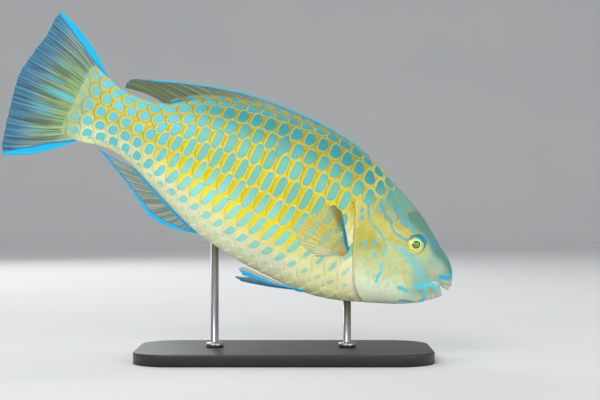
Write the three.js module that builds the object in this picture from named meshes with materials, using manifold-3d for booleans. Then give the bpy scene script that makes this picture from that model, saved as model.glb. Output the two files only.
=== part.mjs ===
import * as THREE from 'three';
import { mergeVertices } from 'three/addons/utils/BufferGeometryUtils.js';
import Module from 'manifold-3d';

// A life-size parrotfish diving nose down, held by two rods on a flat base.
// Lengths are millimetres. The body is drawn level, +X towards the snout, +Y to
// the fish's left and +Z to its back, and the whole fish is then turned nose down.

const wasm = await Module();
wasm.setup();

// Pose and stand
const DIVE_DEGREES = 26;
const FISH_X = -20;
const FISH_Z = 170;
const BASE_LENGTH = 300;
const BASE_WIDTH = 150;
const BASE_THICKNESS = 12;
const BASE_CORNER = 40;
const BASE_BEVEL = 2;
const ROD_RADIUS = 4;
const ROD_X = { front: 64, rear: -71 };
const ROD_COLLAR = { radius: 9, topRadius: 7.2, height: 5 };

// Gap kept between pieces that touch
const GAP = 0.3;

// Body: the back, the belly and half the width at stations from tail root to snout
const STATIONS = [
  { x: -196, back: 36.6, belly: -38.0, half: 3.4 },
  { x: -182, back: 31.6, belly: -34.0, half: 7.6 },
  { x: -168, back: 30.4, belly: -31.0, half: 10.2 },
  { x: -142, back: 33.6, belly: -32.8, half: 13.6 },
  { x: -130, back: 37.6, belly: -36.6, half: 15.6 },
  { x: -104, back: 54.8, belly: -46.5, half: 20.2 },
  { x: -53, back: 73.0, belly: -65.0, half: 28.6 },
  { x: 0, back: 81.9, belly: -74.4, half: 33.2 },
  { x: 42, back: 84.6, belly: -75.6, half: 34.4 },
  { x: 87, back: 76.8, belly: -73.6, half: 33.6 },
  { x: 112, back: 67.1, belly: -67.6, half: 31.6 },
  { x: 150, back: 51.2, belly: -52.4, half: 26.2 },
  { x: 176, back: 35.2, belly: -40.8, half: 20.6 },
  { x: 189, back: 26.3, belly: -33.2, half: 17.2 },
  { x: 200, back: 21.8, belly: -26.2, half: 15.4 },
  { x: 212.3, back: 18.5, belly: -23.0, half: 14.0 },
];
const WAIST_SHARE = 0.53;
const SECTION_POWER = 2.17;
const SNOUT_TIP = { x: 212.3, z: -6 };
const SNOUT_ROUND = { from: 190, power: 2.2 };
const TAIL_END = -194;
const STALK_FRONT = -105;

// Gill cover: its rear edge, from the nape down and forward to the throat
const GILL = { x: 86.7, topDegrees: 17, reach: 60, power: 0.9, gap: 0.45, middleX: 104.7 };
const GILL_FLAP = { proud: 1.3, depth: 9, fadeDegrees: 14, lowestDegrees: -75, step: 0.2 };

// Eye, orbit and nostrils
const EYE = { x: 160.2, z: 19.2, radius: 11.5, proud: 3.0 };
const ORBIT = { x: 161.2, z: 20.4, radius: 9.6, halfWidth: 1.3, halfHeight: 0.975 };
const NOSTRILS = [
  { x: 183.2, z: 21.8, radius: 1.1 },
  { x: 186.6, z: 18.9, radius: 0.9 },
];

// Mouth: the lips' edges in side view, and the two beak plates
const MOUTH = {
  corner: [200.9, -4.4],
  upperLipFront: [216, -2.7],
  lowerLipTurn: [201.2, -19.2],
  lowerLipBend: [203.5, -21.8],
  lowerLipFront: [216, -30],
};
const LIP = { proud: 0.9, spread: 2.0, upperMiddle: 1.4, lowerMiddle: 1.6, rear: 3, lowest: -23 };
const MOUTH_LINE = { x: 196.4, z: -3.0, radius: 0.7 };
const BEAK_HOLLOW = { scale: 0.7, x: 196, z: -8 };
const BEAK_INSET = 0.35;
const UPPER_BEAK = { rearEdge: -5.2, frontEdge: -8.6 };
const LOWER_BEAK = [[201.5, -7.4], [202.8, -9.9], [206, -12.8], [208.6, -16.7], [209.5, -24.5], [203.8, -21.5]];
const BEAK_NOTCH = { width: 0.7, depth: 0.8, z: -20, length: 40 };

// Fins: edges in side view, numbers of rays, and thicknesses from root to tip
const MEMBRANE_HALF = 0.3;
const RAY_BASE_HALF = 0.85;
const RAY_TIP_HALF = 0.35;
const ROOT_FADE = 5;
const SCALLOP = 0.02;
const DORSAL = {
  rays: 19,
  steps: 5,
  root: { front: 84, rear: -130 },
  edge: [
    [78, 81.2], [61.2, 85.0], [23, 88.5], [-15.3, 87.7], [-53.6, 83.6], [-91.8, 74.7],
    [-130, 62], [-155.5, 51.8], [-173.4, 43.4], [-176, 38.5], [-174.6, 33.2],
  ],
  bow: { front: 0.2, rear: 2.5 },
  rootHalf: 1.1,
};
const ANAL = {
  rays: 12,
  steps: 6,
  root: { front: -43.4, rear: -127 },
  edge: [
    [-46, -69], [-57, -72.6], [-75, -75.2], [-88, -74.6], [-96.9, -73.1], [-112, -65],
    [-130, -54.8], [-155.5, -42.6], [-173.4, -34.2],
  ],
  bow: -0.8,
  rootHalf: 1.1,
};
const CAUDAL = {
  rays: 15,
  steps: 8,
  rootX: TAIL_END - GAP,
  rootTop: 35.4,
  rootBottom: -36.8,
  edge: [
    [-267.6, 75.2], [-270.2, 66], [-270.6, 48], [-275, 25], [-278.2, 0], [-276, -18],
    [-271.6, -38], [-267, -58], [-261.5, -76], [-257, -83.2],
  ],
  bow: 5.5,
  rootHalf: 2.8,
};
const PECTORAL = {
  rays: 13,
  steps: 6,
  root: [[100.4, -13.2], [100.0, -17.5], [97.4, -22.6]],
  edge: [
    [76.5, 16.6, 51], [66, 18.5, 51], [55, 6, 50], [47, -8, 48], [45.4, -20, 43],
    [50, -28, 36], [62, -32, 28], [74.5, -34.6, 20],
  ],
  cup: 5,
  lift: 1.6,
  rootHalf: 1.5,
};
const LEFT_FLARE = 0.7;
const PELVIC = {
  rays: 6,
  steps: 7,
  root: [[80, 9.5], [77, 7], [73.5, 4.5]],
  rightEdge: [[17, 15.5, -84.9], [11, 15, -81], [13.5, 12, -77.6], [36, 7, -77.4]],
  leftEdge: [[18, 24, -93.8], [10.2, 23, -92.2], [18, 19, -88.4], [38, 9.5, -80.6]],
  drop: 1.6,
  rootHalf: 1.4,
};

// Fineness of the meshes
const RING_SIDES = 44;
const HEAD_RINGS = 30;
const HEAD_RING_POWER = 1.6;
const TORSO_RINGS = 20;
const STALK_RINGS = 11;
const TRIM_RINGS = 60;
const ORBIT_MESH = { around: 36, sides: 6 };
const EYE_MESH = { around: 22, rings: 14 };
const PIT_MESH = { around: 8, rings: 6 };
const CREASE_MESH = { cap: 3, sides: 8 };
const ROD_SIDES = 20;
const COLLAR_SIDES = 24;

const deg = THREE.MathUtils.degToRad;
const mix = THREE.MathUtils.lerp;

// A smooth curve through known values, with slopes from its neighbours
function smoothCurve(xs, ys) {
  const rise = xs.slice(1).map((x, i) => (ys[i + 1] - ys[i]) / (x - xs[i]));
  const slopes = xs.map((x, i) => {
    if (i === 0) return rise[0];
    if (i === xs.length - 1) return rise[i - 1];
    const before = x - xs[i - 1];
    const after = xs[i + 1] - x;
    return (after * rise[i - 1] + before * rise[i]) / (before + after);
  });
  return (x) => {
    let i = 0;
    while (i < xs.length - 2 && x > xs[i + 1]) i += 1;
    const span = xs[i + 1] - xs[i];
    const t = (x - xs[i]) / span;
    const ease = t * t * (3 - 2 * t);
    const leave = span * slopes[i] * t * (1 - t) * (1 - t);
    const arrive = span * slopes[i + 1] * t * t * (t - 1);
    return mix(ys[i], ys[i + 1], ease) + leave + arrive;
  };
}

const stationX = STATIONS.map((s) => s.x);
const backLine = smoothCurve(stationX, STATIONS.map((s) => s.back));
const bellyLine = smoothCurve(stationX, STATIONS.map((s) => s.belly));
const widthLine = smoothCurve(stationX, STATIONS.map((s) => s.half));

// How far the section is drawn in towards the snout's tip at x: 1 is not at all, 0 wholly
function snoutRound(x) {
  if (x <= SNOUT_ROUND.from) return 1;
  const share = Math.min(1, (x - SNOUT_ROUND.from) / (SNOUT_TIP.x - SNOUT_ROUND.from));
  return Math.sqrt(Math.max(0, 1 - share ** SNOUT_ROUND.power));
}

// The cross-section at x
function section(x) {
  const round = snoutRound(x);
  const back = mix(SNOUT_TIP.z, backLine(x), round);
  const belly = mix(SNOUT_TIP.z, bellyLine(x), round);
  return { back, belly, waist: mix(belly, back, WAIST_SHARE), half: widthLine(x) * round };
}

// A point of the skin at x; the angle runs from 0 on the left side to 90 at the back
function skinPoint(x, angle, proud = 0) {
  const { back, belly, waist, half } = section(x);
  const up = Math.sin(angle);
  const out = Math.cos(angle);
  const reach = up > 0 ? back - waist : waist - belly;
  const y = half * Math.sign(out) * Math.abs(out) ** (2 / SECTION_POWER);
  const z = waist + reach * Math.sign(up) * Math.abs(up) ** (2 / SECTION_POWER);
  const lift = new THREE.Vector2(out / Math.max(half, 1), up / Math.max(reach, 1)).normalize();
  return new THREE.Vector3(x, y + proud * lift.x, z + proud * lift.y);
}

// Half the body's width at a place in side view
function sideWidth(x, z) {
  const { back, belly, waist, half } = section(x);
  const reach = z > waist ? back - waist : waist - belly;
  const share = Math.min(1, Math.abs(z - waist) / reach);
  return half * (1 - share ** SECTION_POWER) ** (1 / SECTION_POWER);
}

// The height of the underside at x, at a distance y from the middle
function undersideHeight(x, y) {
  const { belly, waist, half } = section(x);
  const share = Math.abs(y) / half;
  return waist - (waist - belly) * (1 - share ** SECTION_POWER) ** (1 / SECTION_POWER);
}

// A point of the side, with the skin's outward direction there; side is 1 for the left
function sidePlace(x, z, side) {
  const step = 0.5;
  const y = sideWidth(x, z);
  const slopeX = (sideWidth(x + step, z) - sideWidth(x - step, z)) / (2 * step);
  const slopeZ = (sideWidth(x, z + step) - sideWidth(x, z - step)) / (2 * step);
  const normal = new THREE.Vector3(-slopeX, side, -slopeZ).normalize();
  return { point: new THREE.Vector3(x, side * y, z), normal };
}

// The gill cover's rear edge at an angle round the body
function gillEdge(angle) {
  const degrees = THREE.MathUtils.radToDeg(Math.asin(Math.sin(angle)));
  const share = Math.max(0, (GILL.topDegrees - degrees) / (GILL.topDegrees + 90));
  return GILL.x + GILL.reach * share ** GILL.power;
}

// How far the gill cover's flap stands proud of the body behind it
function flapProud(x, angle) {
  const degrees = THREE.MathUtils.radToDeg(Math.asin(Math.sin(angle)));
  const above = Math.max(0, degrees - GILL.topDegrees) / GILL_FLAP.fadeDegrees;
  const below = Math.max(0, GILL_FLAP.lowestDegrees - degrees) / GILL_FLAP.fadeDegrees;
  const near = (x - gillEdge(angle)) / GILL_FLAP.depth;
  return GILL_FLAP.proud * Math.exp(-above * above - below * below - near * near);
}

// How far the lips swell at a place in side view
function lipProud(x, z) {
  const [cornerX, cornerZ] = MOUTH.corner;
  const [frontX, frontZ] = MOUTH.upperLipFront;
  const swelling = (distance) => Math.exp(-((distance / LIP.spread) ** 2));
  const upper = z - mix(cornerZ, frontZ, (x - cornerX) / (frontX - cornerX)) - LIP.upperMiddle;
  const lower = MOUTH.lowerLipTurn[0] - x - LIP.lowerMiddle;
  const overUpper = x > cornerX - LIP.rear ? swelling(upper) : 0;
  const inLower = z < cornerZ && z > LIP.lowest ? swelling(lower) : 0;
  return LIP.proud * Math.max(overUpper, inLower);
}

// Turns a mesh's faces outwards
function outward(positions, triangles) {
  let volume = 0;
  for (let i = 0; i < triangles.length; i += 3) {
    const [a, b, c] = [positions[triangles[i]], positions[triangles[i + 1]], positions[triangles[i + 2]]];
    volume += a.dot(b.clone().cross(c));
  }
  return volume > 0 ? triangles : triangles.slice().reverse();
}

function meshGeometry(positions, triangles) {
  const geometry = new THREE.BufferGeometry().setFromPoints(positions);
  geometry.setIndex(outward(positions, triangles));
  return geometry;
}

// A closed skin over rings of points, each end closed by a fan to its own middle point
function loft(rings, startPoint, endPoint) {
  const sides = rings[0].length;
  const positions = [startPoint, endPoint, ...rings.flat()];
  const at = (ring, side) => 2 + ring * sides + (side % sides);
  const last = rings.length - 1;
  const triangles = [];
  for (let s = 0; s < sides; s += 1) {
    triangles.push(0, at(0, s + 1), at(0, s), 1, at(last, s), at(last, s + 1));
    for (let r = 0; r < last; r += 1) {
      triangles.push(at(r, s), at(r, s + 1), at(r + 1, s + 1), at(r, s), at(r + 1, s + 1), at(r + 1, s));
    }
  }
  return meshGeometry(positions, triangles);
}

// A ring of skin points; placeX gives each point's station and proud its offset
function skinRing(placeX, proud = () => 0) {
  return Array.from({ length: RING_SIDES }, (_, side) => {
    const angle = (2 * Math.PI * side) / RING_SIDES;
    const x = placeX(angle);
    return skinPoint(x, angle, proud(x, angle));
  });
}

function ringMiddle(x) {
  return new THREE.Vector3(x, 0, section(x).waist);
}

// A closed geometry as a solid that can be joined and cut
function solid(geometry) {
  const bare = geometry.clone();
  const extra = Object.keys(bare.attributes).filter((name) => name !== 'position');
  extra.forEach((name) => bare.deleteAttribute(name));
  const merged = mergeVertices(bare, 1e-4);
  const triVerts = new Uint32Array(merged.index.array);
  const vertProperties = new Float32Array(merged.attributes.position.array);
  return new wasm.Manifold(new wasm.Mesh({ numProp: 3, vertProperties, triVerts }));
}

// The largest closed surface of a solid, as a geometry
function largestPiece(whole) {
  const pieces = whole.decompose();
  const piece = pieces.reduce((best, next) => (next.volume() > best.volume() ? next : best));
  const mesh = piece.getMesh();
  const geometry = new THREE.BufferGeometry();
  geometry.setAttribute('position', new THREE.BufferAttribute(new Float32Array(mesh.vertProperties), 3));
  geometry.setIndex(new THREE.BufferAttribute(new Uint32Array(mesh.triVerts), 1));
  return geometry;
}

// A block through the whole head with the given outline in side view
function sideBlock(outline) {
  const width = 80;
  const shape = new THREE.Shape(outline.map(([x, z]) => new THREE.Vector2(x, z)));
  const block = new THREE.ExtrudeGeometry(shape, { depth: width, bevelEnabled: false });
  return block.rotateX(Math.PI / 2).translate(0, width / 2, 0);
}

// The head's skin from the gill cover's edge to the snout, offset by proud
function headShell(proud) {
  const rings = [skinRing(gillEdge)];
  for (let r = 0; r < HEAD_RINGS; r += 1) {
    const share = 1 - (1 - r / HEAD_RINGS) ** HEAD_RING_POWER;
    rings.push(skinRing((angle) => mix(gillEdge(angle) + GILL_FLAP.step, SNOUT_TIP.x, share), proud));
  }
  return loft(rings, ringMiddle(GILL.middleX), new THREE.Vector3(SNOUT_TIP.x, 0, SNOUT_TIP.z));
}

// How far the head's skin stands out at a station and angle: the gill flap and the lips
function headProud(x, angle) {
  const point = skinPoint(x, angle);
  return flapProud(x, angle) + lipProud(x, point.z);
}

// The eyeball, set so that only its outer cap stands out of the head
function eyeball(side, clearance = 0) {
  const { point, normal } = sidePlace(EYE.x, EYE.z, side);
  const centre = point.clone().addScaledVector(normal, EYE.proud - EYE.radius);
  const ball = new THREE.SphereGeometry(EYE.radius + clearance, EYE_MESH.around, EYE_MESH.rings);
  ball.applyQuaternion(new THREE.Quaternion().setFromUnitVectors(new THREE.Vector3(0, 1, 0), normal));
  return ball.translate(centre.x, centre.y, centre.z);
}

// The raised rim of the orbit, following the skin round the eye
function orbitRim(side) {
  const { around, sides } = ORBIT_MESH;
  const rings = [];
  for (let i = 0; i < around; i += 1) {
    const turn = (2 * Math.PI * i) / around;
    const away = new THREE.Vector3(Math.cos(turn), 0, Math.sin(turn));
    const place = sidePlace(ORBIT.x + ORBIT.radius * away.x, ORBIT.z + ORBIT.radius * away.z, side);
    rings.push(Array.from({ length: sides }, (_, s) => {
      const roll = (2 * Math.PI * s) / sides;
      return place.point.clone()
        .addScaledVector(place.normal, ORBIT.halfHeight * Math.cos(roll))
        .addScaledVector(away, ORBIT.halfWidth * Math.sin(roll));
    }));
  }
  const positions = rings.flat();
  const at = (ring, s) => (ring % around) * sides + (s % sides);
  const triangles = [];
  for (let r = 0; r < around; r += 1) {
    for (let s = 0; s < sides; s += 1) {
      triangles.push(at(r, s), at(r, s + 1), at(r + 1, s + 1), at(r, s), at(r + 1, s + 1), at(r + 1, s));
    }
  }
  return meshGeometry(positions, triangles);
}

function nostrilPit({ x, z, radius }, side) {
  const { point } = sidePlace(x, z, side);
  return new THREE.SphereGeometry(radius, PIT_MESH.around, PIT_MESH.rings).translate(point.x, point.y, point.z);
}

// The short crease that runs back from the corner of the mouth
function mouthCrease(side) {
  const end = sidePlace(MOUTH_LINE.x, MOUTH_LINE.z, side).point;
  const start = sidePlace(MOUTH.corner[0] + 1, MOUTH.corner[1], side).point;
  const length = start.distanceTo(end);
  const crease = new THREE.CapsuleGeometry(MOUTH_LINE.radius, length, CREASE_MESH.cap, CREASE_MESH.sides);
  const along = end.clone().sub(start).normalize();
  crease.applyQuaternion(new THREE.Quaternion().setFromUnitVectors(new THREE.Vector3(0, 1, 0), along));
  const middle = start.add(end).multiplyScalar(0.5);
  return crease.translate(middle.x, middle.y, middle.z);
}

// The open mouth between the lips, in side view
function gapeOutline() {
  return [MOUTH.corner, MOUTH.upperLipFront, MOUTH.lowerLipFront, MOUTH.lowerLipBend, MOUTH.lowerLipTurn];
}

function headGeometry() {
  let head = solid(headShell(headProud));
  for (const side of [1, -1]) {
    head = head.add(solid(orbitRim(side)));
    head = head.subtract(solid(eyeball(side, GAP)));
    head = head.subtract(solid(mouthCrease(side)));
    NOSTRILS.forEach((nostril) => {
      head = head.subtract(solid(nostrilPit(nostril, side)));
    });
  }
  return largestPiece(head.subtract(solid(sideBlock(gapeOutline()))));
}

// A beak plate: the snout's wall within an outline, notched where its halves meet
function beakGeometry(outline) {
  const { x, z, scale } = BEAK_HOLLOW;
  const hollow = headShell(() => 0).translate(-x, 0, -z).scale(scale, scale, scale).translate(x, 0, z);
  const plate = solid(headShell(() => -BEAK_INSET)).intersect(solid(sideBlock(outline)));
  const notch = new THREE.CylinderGeometry(BEAK_NOTCH.depth, BEAK_NOTCH.depth, BEAK_NOTCH.length, 4);
  notch.scale(1, 1, BEAK_NOTCH.width / (2 * BEAK_NOTCH.depth));
  const front = SNOUT_TIP.x - BEAK_INSET;
  const cut = solid(notch.rotateX(Math.PI / 2).translate(front, 0, BEAK_NOTCH.z));
  return largestPiece(plate.subtract(solid(hollow)).subtract(cut));
}

function upperBeakOutline() {
  const [rear, lip] = MOUTH.corner;
  const [front, lipFront] = MOUTH.upperLipFront;
  return [
    [rear + GAP, lip - GAP], [front, lipFront - GAP],
    [front, UPPER_BEAK.frontEdge], [rear + GAP, UPPER_BEAK.rearEdge],
  ];
}

function lowerBeakOutline() {
  return [...LOWER_BEAK, [MOUTH.lowerLipTurn[0] + GAP, MOUTH.lowerLipTurn[1] + GAP]];
}

function torsoGeometry() {
  const rings = [];
  for (let r = 0; r <= TORSO_RINGS; r += 1) {
    const share = r / TORSO_RINGS;
    rings.push(skinRing((angle) => mix(STALK_FRONT + GAP, gillEdge(angle) - GILL.gap, share)));
  }
  return loft(rings, ringMiddle(STALK_FRONT + GAP), ringMiddle(GILL.middleX - GILL.gap));
}

function stalkGeometry() {
  const rings = [];
  for (let r = 0; r <= STALK_RINGS; r += 1) {
    rings.push(skinRing(() => mix(TAIL_END, STALK_FRONT, r / STALK_RINGS)));
  }
  return loft(rings, ringMiddle(TAIL_END), ringMiddle(STALK_FRONT));
}

// The body behind the snout, a little swollen, which trims a rod to the belly it carries
function swollenBody() {
  const end = SNOUT_ROUND.from;
  const rings = [];
  for (let r = 0; r <= TRIM_RINGS; r += 1) {
    rings.push(skinRing(() => mix(TAIL_END, end, r / TRIM_RINGS), () => GAP));
  }
  return loft(rings, ringMiddle(TAIL_END), ringMiddle(end));
}

// A smooth line through points in space, read by its share of length
function spaceLine(points) {
  const curve = new THREE.CatmullRomCurve3(points, false, 'centripetal');
  curve.arcLengthDivisions = 400;
  return (share) => curve.getPointAt(Math.min(1, Math.max(0, share)));
}

// A fin: rays run from the root line to the edge line, each a ridge on both faces,
// and the membrane between two rays is thin and ends a little short of them
function finGeometry({ rays, steps, rootHalf }, rootAt, edgeAt, bowAt) {
  const columns = 2 * rays - 1;
  const middle = (k, t) => {
    const point = rootAt(k).lerp(edgeAt(k), t);
    return point.addScaledVector(bowAt(k), Math.sin(Math.PI * t));
  };
  const normalAt = (k, t) => {
    const step = 0.02;
    const across = middle(Math.min(1, k + step), t).sub(middle(Math.max(0, k - step), t));
    const along = middle(k, Math.min(1, t + step)).sub(middle(k, Math.max(0, t - step)));
    return across.cross(along).normalize();
  };
  const front = [];
  const back = [];
  for (let c = 0; c < columns; c += 1) {
    const isRay = c % 2 === 0;
    for (let r = 0; r <= steps; r += 1) {
      const k = c / (columns - 1);
      const t = (r / steps) * (isRay ? 1 : 1 - SCALLOP);
      const point = middle(k, t);
      const offset = normalAt(k, Math.max(t, 0.03)).multiplyScalar(finHalf(t, isRay, rootHalf));
      front.push(point.clone().add(offset));
      back.push(point.clone().sub(offset));
    }
  }
  return plateGeometry(front, back, columns, steps + 1);
}

// Two like faces of points, joined round their rim into a closed plate
function plateGeometry(front, back, columns, rows) {
  const at = (c, r) => c * rows + r;
  const under = front.length;
  const triangles = [];
  for (let c = 0; c < columns - 1; c += 1) {
    for (let r = 0; r < rows - 1; r += 1) {
      const [a, b, e, d] = [at(c, r), at(c + 1, r), at(c + 1, r + 1), at(c, r + 1)];
      triangles.push(a, b, e, a, e, d);
      triangles.push(under + a, under + e, under + b, under + a, under + d, under + e);
    }
  }
  const wall = (p, q) => triangles.push(p, under + q, q, p, under + p, under + q);
  for (let c = 0; c < columns - 1; c += 1) {
    wall(at(c, 0), at(c + 1, 0));
    wall(at(c + 1, rows - 1), at(c, rows - 1));
  }
  for (let r = 0; r < rows - 1; r += 1) {
    wall(at(0, r + 1), at(0, r));
    wall(at(columns - 1, r), at(columns - 1, r + 1));
  }
  return meshGeometry([...front, ...back], triangles);
}

// Thickness of a fin: stout at the root, then ridged rays on a thin membrane
function finHalf(t, isRay, rootHalf) {
  const fade = Math.exp(-t * ROOT_FADE);
  const ray = mix(RAY_BASE_HALF, RAY_TIP_HALF, t);
  return mix(isRay ? ray : MEMBRANE_HALF, rootHalf, fade);
}

// The root of a fin on the body's midline, where height gives the skin's height at x
function midlineRoot({ front, rear }, height) {
  return (k) => {
    const x = mix(front, rear, k);
    return new THREE.Vector3(x, 0, height(x));
  };
}

function dorsalGeometry() {
  const root = midlineRoot(DORSAL.root, (x) => backLine(x) + GAP);
  const edge = spaceLine(DORSAL.edge.map(([x, z]) => new THREE.Vector3(x, 0, z)));
  const bow = (k) => new THREE.Vector3(0, 0, mix(DORSAL.bow.front, DORSAL.bow.rear, k));
  return finGeometry(DORSAL, root, edge, bow);
}

function analGeometry() {
  const root = midlineRoot(ANAL.root, (x) => bellyLine(x) - GAP);
  const edge = spaceLine(ANAL.edge.map(([x, z]) => new THREE.Vector3(x, 0, z)));
  return finGeometry(ANAL, root, edge, () => new THREE.Vector3(0, 0, ANAL.bow));
}

function caudalGeometry() {
  const { rootX, rootTop, rootBottom, bow } = CAUDAL;
  const root = (k) => new THREE.Vector3(rootX, 0, mix(rootTop, rootBottom, k));
  const edge = spaceLine(CAUDAL.edge.map(([x, z]) => new THREE.Vector3(x, 0, z)));
  return finGeometry(CAUDAL, root, edge, (k) => new THREE.Vector3(0, 0, bow * (1 - 2 * k)));
}

// A pectoral fin, spread from the side of the body; flare scales how far it stands out
function pectoralGeometry(side, flare) {
  const rootPoints = PECTORAL.root.map(([x, z]) => {
    const { point, normal } = sidePlace(x, z, side);
    return point.addScaledVector(normal, GAP + PECTORAL.lift);
  });
  const rootY = Math.abs(rootPoints[1].y);
  const edgePoints = PECTORAL.edge.map(([x, z, out]) => new THREE.Vector3(x, side * (rootY + out * flare), z));
  const cup = new THREE.Vector3(0, side * PECTORAL.cup, 0);
  return finGeometry(PECTORAL, spaceLine(rootPoints), spaceLine(edgePoints), () => cup);
}

// A pelvic fin, trailing under the belly
function pelvicGeometry(side, edgeList) {
  const clear = GAP + PELVIC.rootHalf;
  const rootPoints = PELVIC.root.map(([x, y]) => {
    return new THREE.Vector3(x, side * y, undersideHeight(x, y) - clear);
  });
  const edgePoints = edgeList.map(([x, y, z]) => new THREE.Vector3(x, side * y, z));
  const drop = (k) => new THREE.Vector3(0, 0, -PELVIC.drop * (1 - k));
  return finGeometry(PELVIC, spaceLine(rootPoints), spaceLine(edgePoints), drop);
}

// The stand's base: a flat plate with round corners and a small bevel
function baseGeometry() {
  const [x, y, r] = [BASE_LENGTH / 2 - BASE_BEVEL, BASE_WIDTH / 2 - BASE_BEVEL, BASE_CORNER - BASE_BEVEL];
  const shape = new THREE.Shape();
  shape.absarc(x - r, y - r, r, 0, Math.PI / 2);
  shape.absarc(r - x, y - r, r, Math.PI / 2, Math.PI);
  shape.absarc(r - x, r - y, r, Math.PI, 1.5 * Math.PI);
  shape.absarc(x - r, r - y, r, 1.5 * Math.PI, 2 * Math.PI);
  const flat = new THREE.ExtrudeGeometry(shape, {
    depth: BASE_THICKNESS - 2 * BASE_BEVEL,
    bevelThickness: BASE_BEVEL,
    bevelSize: BASE_BEVEL,
    bevelSegments: 2,
    curveSegments: 6,
  });
  return flat.translate(0, 0, BASE_BEVEL);
}

// A rod from the base to the belly, with a low collar, trimmed to the belly above it
function rodGeometry(x) {
  const foot = BASE_THICKNESS + GAP;
  const height = FISH_Z;
  const rod = new THREE.CylinderGeometry(ROD_RADIUS, ROD_RADIUS, height, ROD_SIDES);
  rod.rotateX(Math.PI / 2).translate(x, 0, foot + height / 2);
  const { radius, topRadius, height: collarHeight } = ROD_COLLAR;
  const collar = new THREE.CylinderGeometry(topRadius, radius, collarHeight, COLLAR_SIDES);
  collar.rotateX(Math.PI / 2).translate(x, 0, foot + collarHeight / 2);
  const body = swollenBody().applyMatrix4(fish.matrixWorld);
  const cut = solid(rod).add(solid(collar)).subtract(solid(body));
  const lowest = cut.decompose().reduce((best, next) => {
    return next.boundingBox().min[2] < best.boundingBox().min[2] ? next : best;
  });
  return largestPiece(lowest);
}

function material(color, roughness, metalness = 0) {
  return new THREE.MeshStandardMaterial({ color, roughness, metalness });
}

const flesh = material(0xd8cf6a, 0.45);
const headSkin = material(0xbfc690, 0.45);
const stalkSkin = material(0xc9cc8e, 0.45);
const finSkin = material(0x9fb7a8, 0.5);
const tailSkin = material(0x6f9fb8, 0.5);
const blueFin = material(0x4fa9d6, 0.5);
const eyeGloss = material(0xd9c531, 0.15);
const beakEnamel = material(0xdfe6d4, 0.3);
const standMetal = material(0x3a3c40, 0.4, 0.8);

function named(name, geometry, look) {
  const mesh = new THREE.Mesh(geometry, look);
  mesh.name = name;
  return mesh;
}

const fish = new THREE.Group();
fish.rotation.y = deg(DIVE_DEGREES);
fish.position.set(FISH_X, 0, FISH_Z);
fish.updateMatrixWorld();
fish.add(
  named('head', headGeometry(), headSkin),
  named('torso', torsoGeometry(), flesh),
  named('tail_stalk', stalkGeometry(), stalkSkin),
  named('caudal_fin', caudalGeometry(), tailSkin),
  named('dorsal_fin', dorsalGeometry(), finSkin),
  named('anal_fin', analGeometry(), finSkin),
  named('pectoral_fin_right', pectoralGeometry(-1, 1), finSkin),
  named('pectoral_fin_left', pectoralGeometry(1, LEFT_FLARE), finSkin),
  named('pelvic_fin_right', pelvicGeometry(-1, PELVIC.rightEdge), blueFin),
  named('pelvic_fin_left', pelvicGeometry(1, PELVIC.leftEdge), blueFin),
  named('eye_right', eyeball(-1), eyeGloss),
  named('eye_left', eyeball(1), eyeGloss),
  named('beak_upper', beakGeometry(upperBeakOutline()), beakEnamel),
  named('beak_lower', beakGeometry(lowerBeakOutline()), beakEnamel),
);

const model = new THREE.Group();
model.add(
  fish,
  named('stand_base', baseGeometry(), standMetal),
  named('stand_rod_front', rodGeometry(ROD_X.front), standMetal),
  named('stand_rod_rear', rodGeometry(ROD_X.rear), standMetal),
);

export default model;
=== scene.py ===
import math

import bpy
import numpy as np
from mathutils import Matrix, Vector


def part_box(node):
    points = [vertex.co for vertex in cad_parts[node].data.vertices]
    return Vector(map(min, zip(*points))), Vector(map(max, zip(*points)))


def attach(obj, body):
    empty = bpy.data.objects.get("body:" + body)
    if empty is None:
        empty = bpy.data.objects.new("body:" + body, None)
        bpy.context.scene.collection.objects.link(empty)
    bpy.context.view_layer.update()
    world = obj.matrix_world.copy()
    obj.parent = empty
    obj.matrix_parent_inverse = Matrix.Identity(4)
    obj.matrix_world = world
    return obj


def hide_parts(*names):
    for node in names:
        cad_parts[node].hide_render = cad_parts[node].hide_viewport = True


# A life-size parrotfish diving nose down on a display stand.
# Sizes are millimetres in the fish's own level frame (+x to the snout, +y to its left,
# +z to its back); placed() turns the fish nose down and gives metres in the row frame.

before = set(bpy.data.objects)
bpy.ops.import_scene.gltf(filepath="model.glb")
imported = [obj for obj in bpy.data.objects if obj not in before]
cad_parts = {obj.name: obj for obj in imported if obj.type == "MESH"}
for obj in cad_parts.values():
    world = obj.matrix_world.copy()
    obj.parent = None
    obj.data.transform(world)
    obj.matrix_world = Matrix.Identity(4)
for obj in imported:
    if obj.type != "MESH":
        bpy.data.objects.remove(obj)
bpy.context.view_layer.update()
random = np.random.default_rng(7)

# A distance beyond every other, and the unit in which the materials read places
FAR = 1e3
PLACE_UNIT = 100

# Pose and stand
DIVE = math.radians(26)
FISH_X = -20.0
FISH_Z = 170.0
BASE_THICKNESS = 12.0
BASE_LENGTH = 300.0
BASE_WIDTH = 150.0
BASE_CORNER = 40.0
BASE_BEVEL = 2.0
ROD_RADIUS = 4.0
ROD_FRONT_X = 64.0
ROD_REAR_X = -71.0
# The rods' collars: how far they stand out of the rod, and their height over the base
COLLAR = [(5, 0), (5, 3.6), (4.7, 4.3), (4, 4.7), (3, 5), (0.4, 5), (0, 5.4)]

# Camera: the photo's view, with the picture's centre and scale in the row frame
PICTURE_CENTRE = (16.0, 162.0)
PICTURE_WIDTH = 612.0
LENS = 85.0
SENSOR = 36.0

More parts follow.
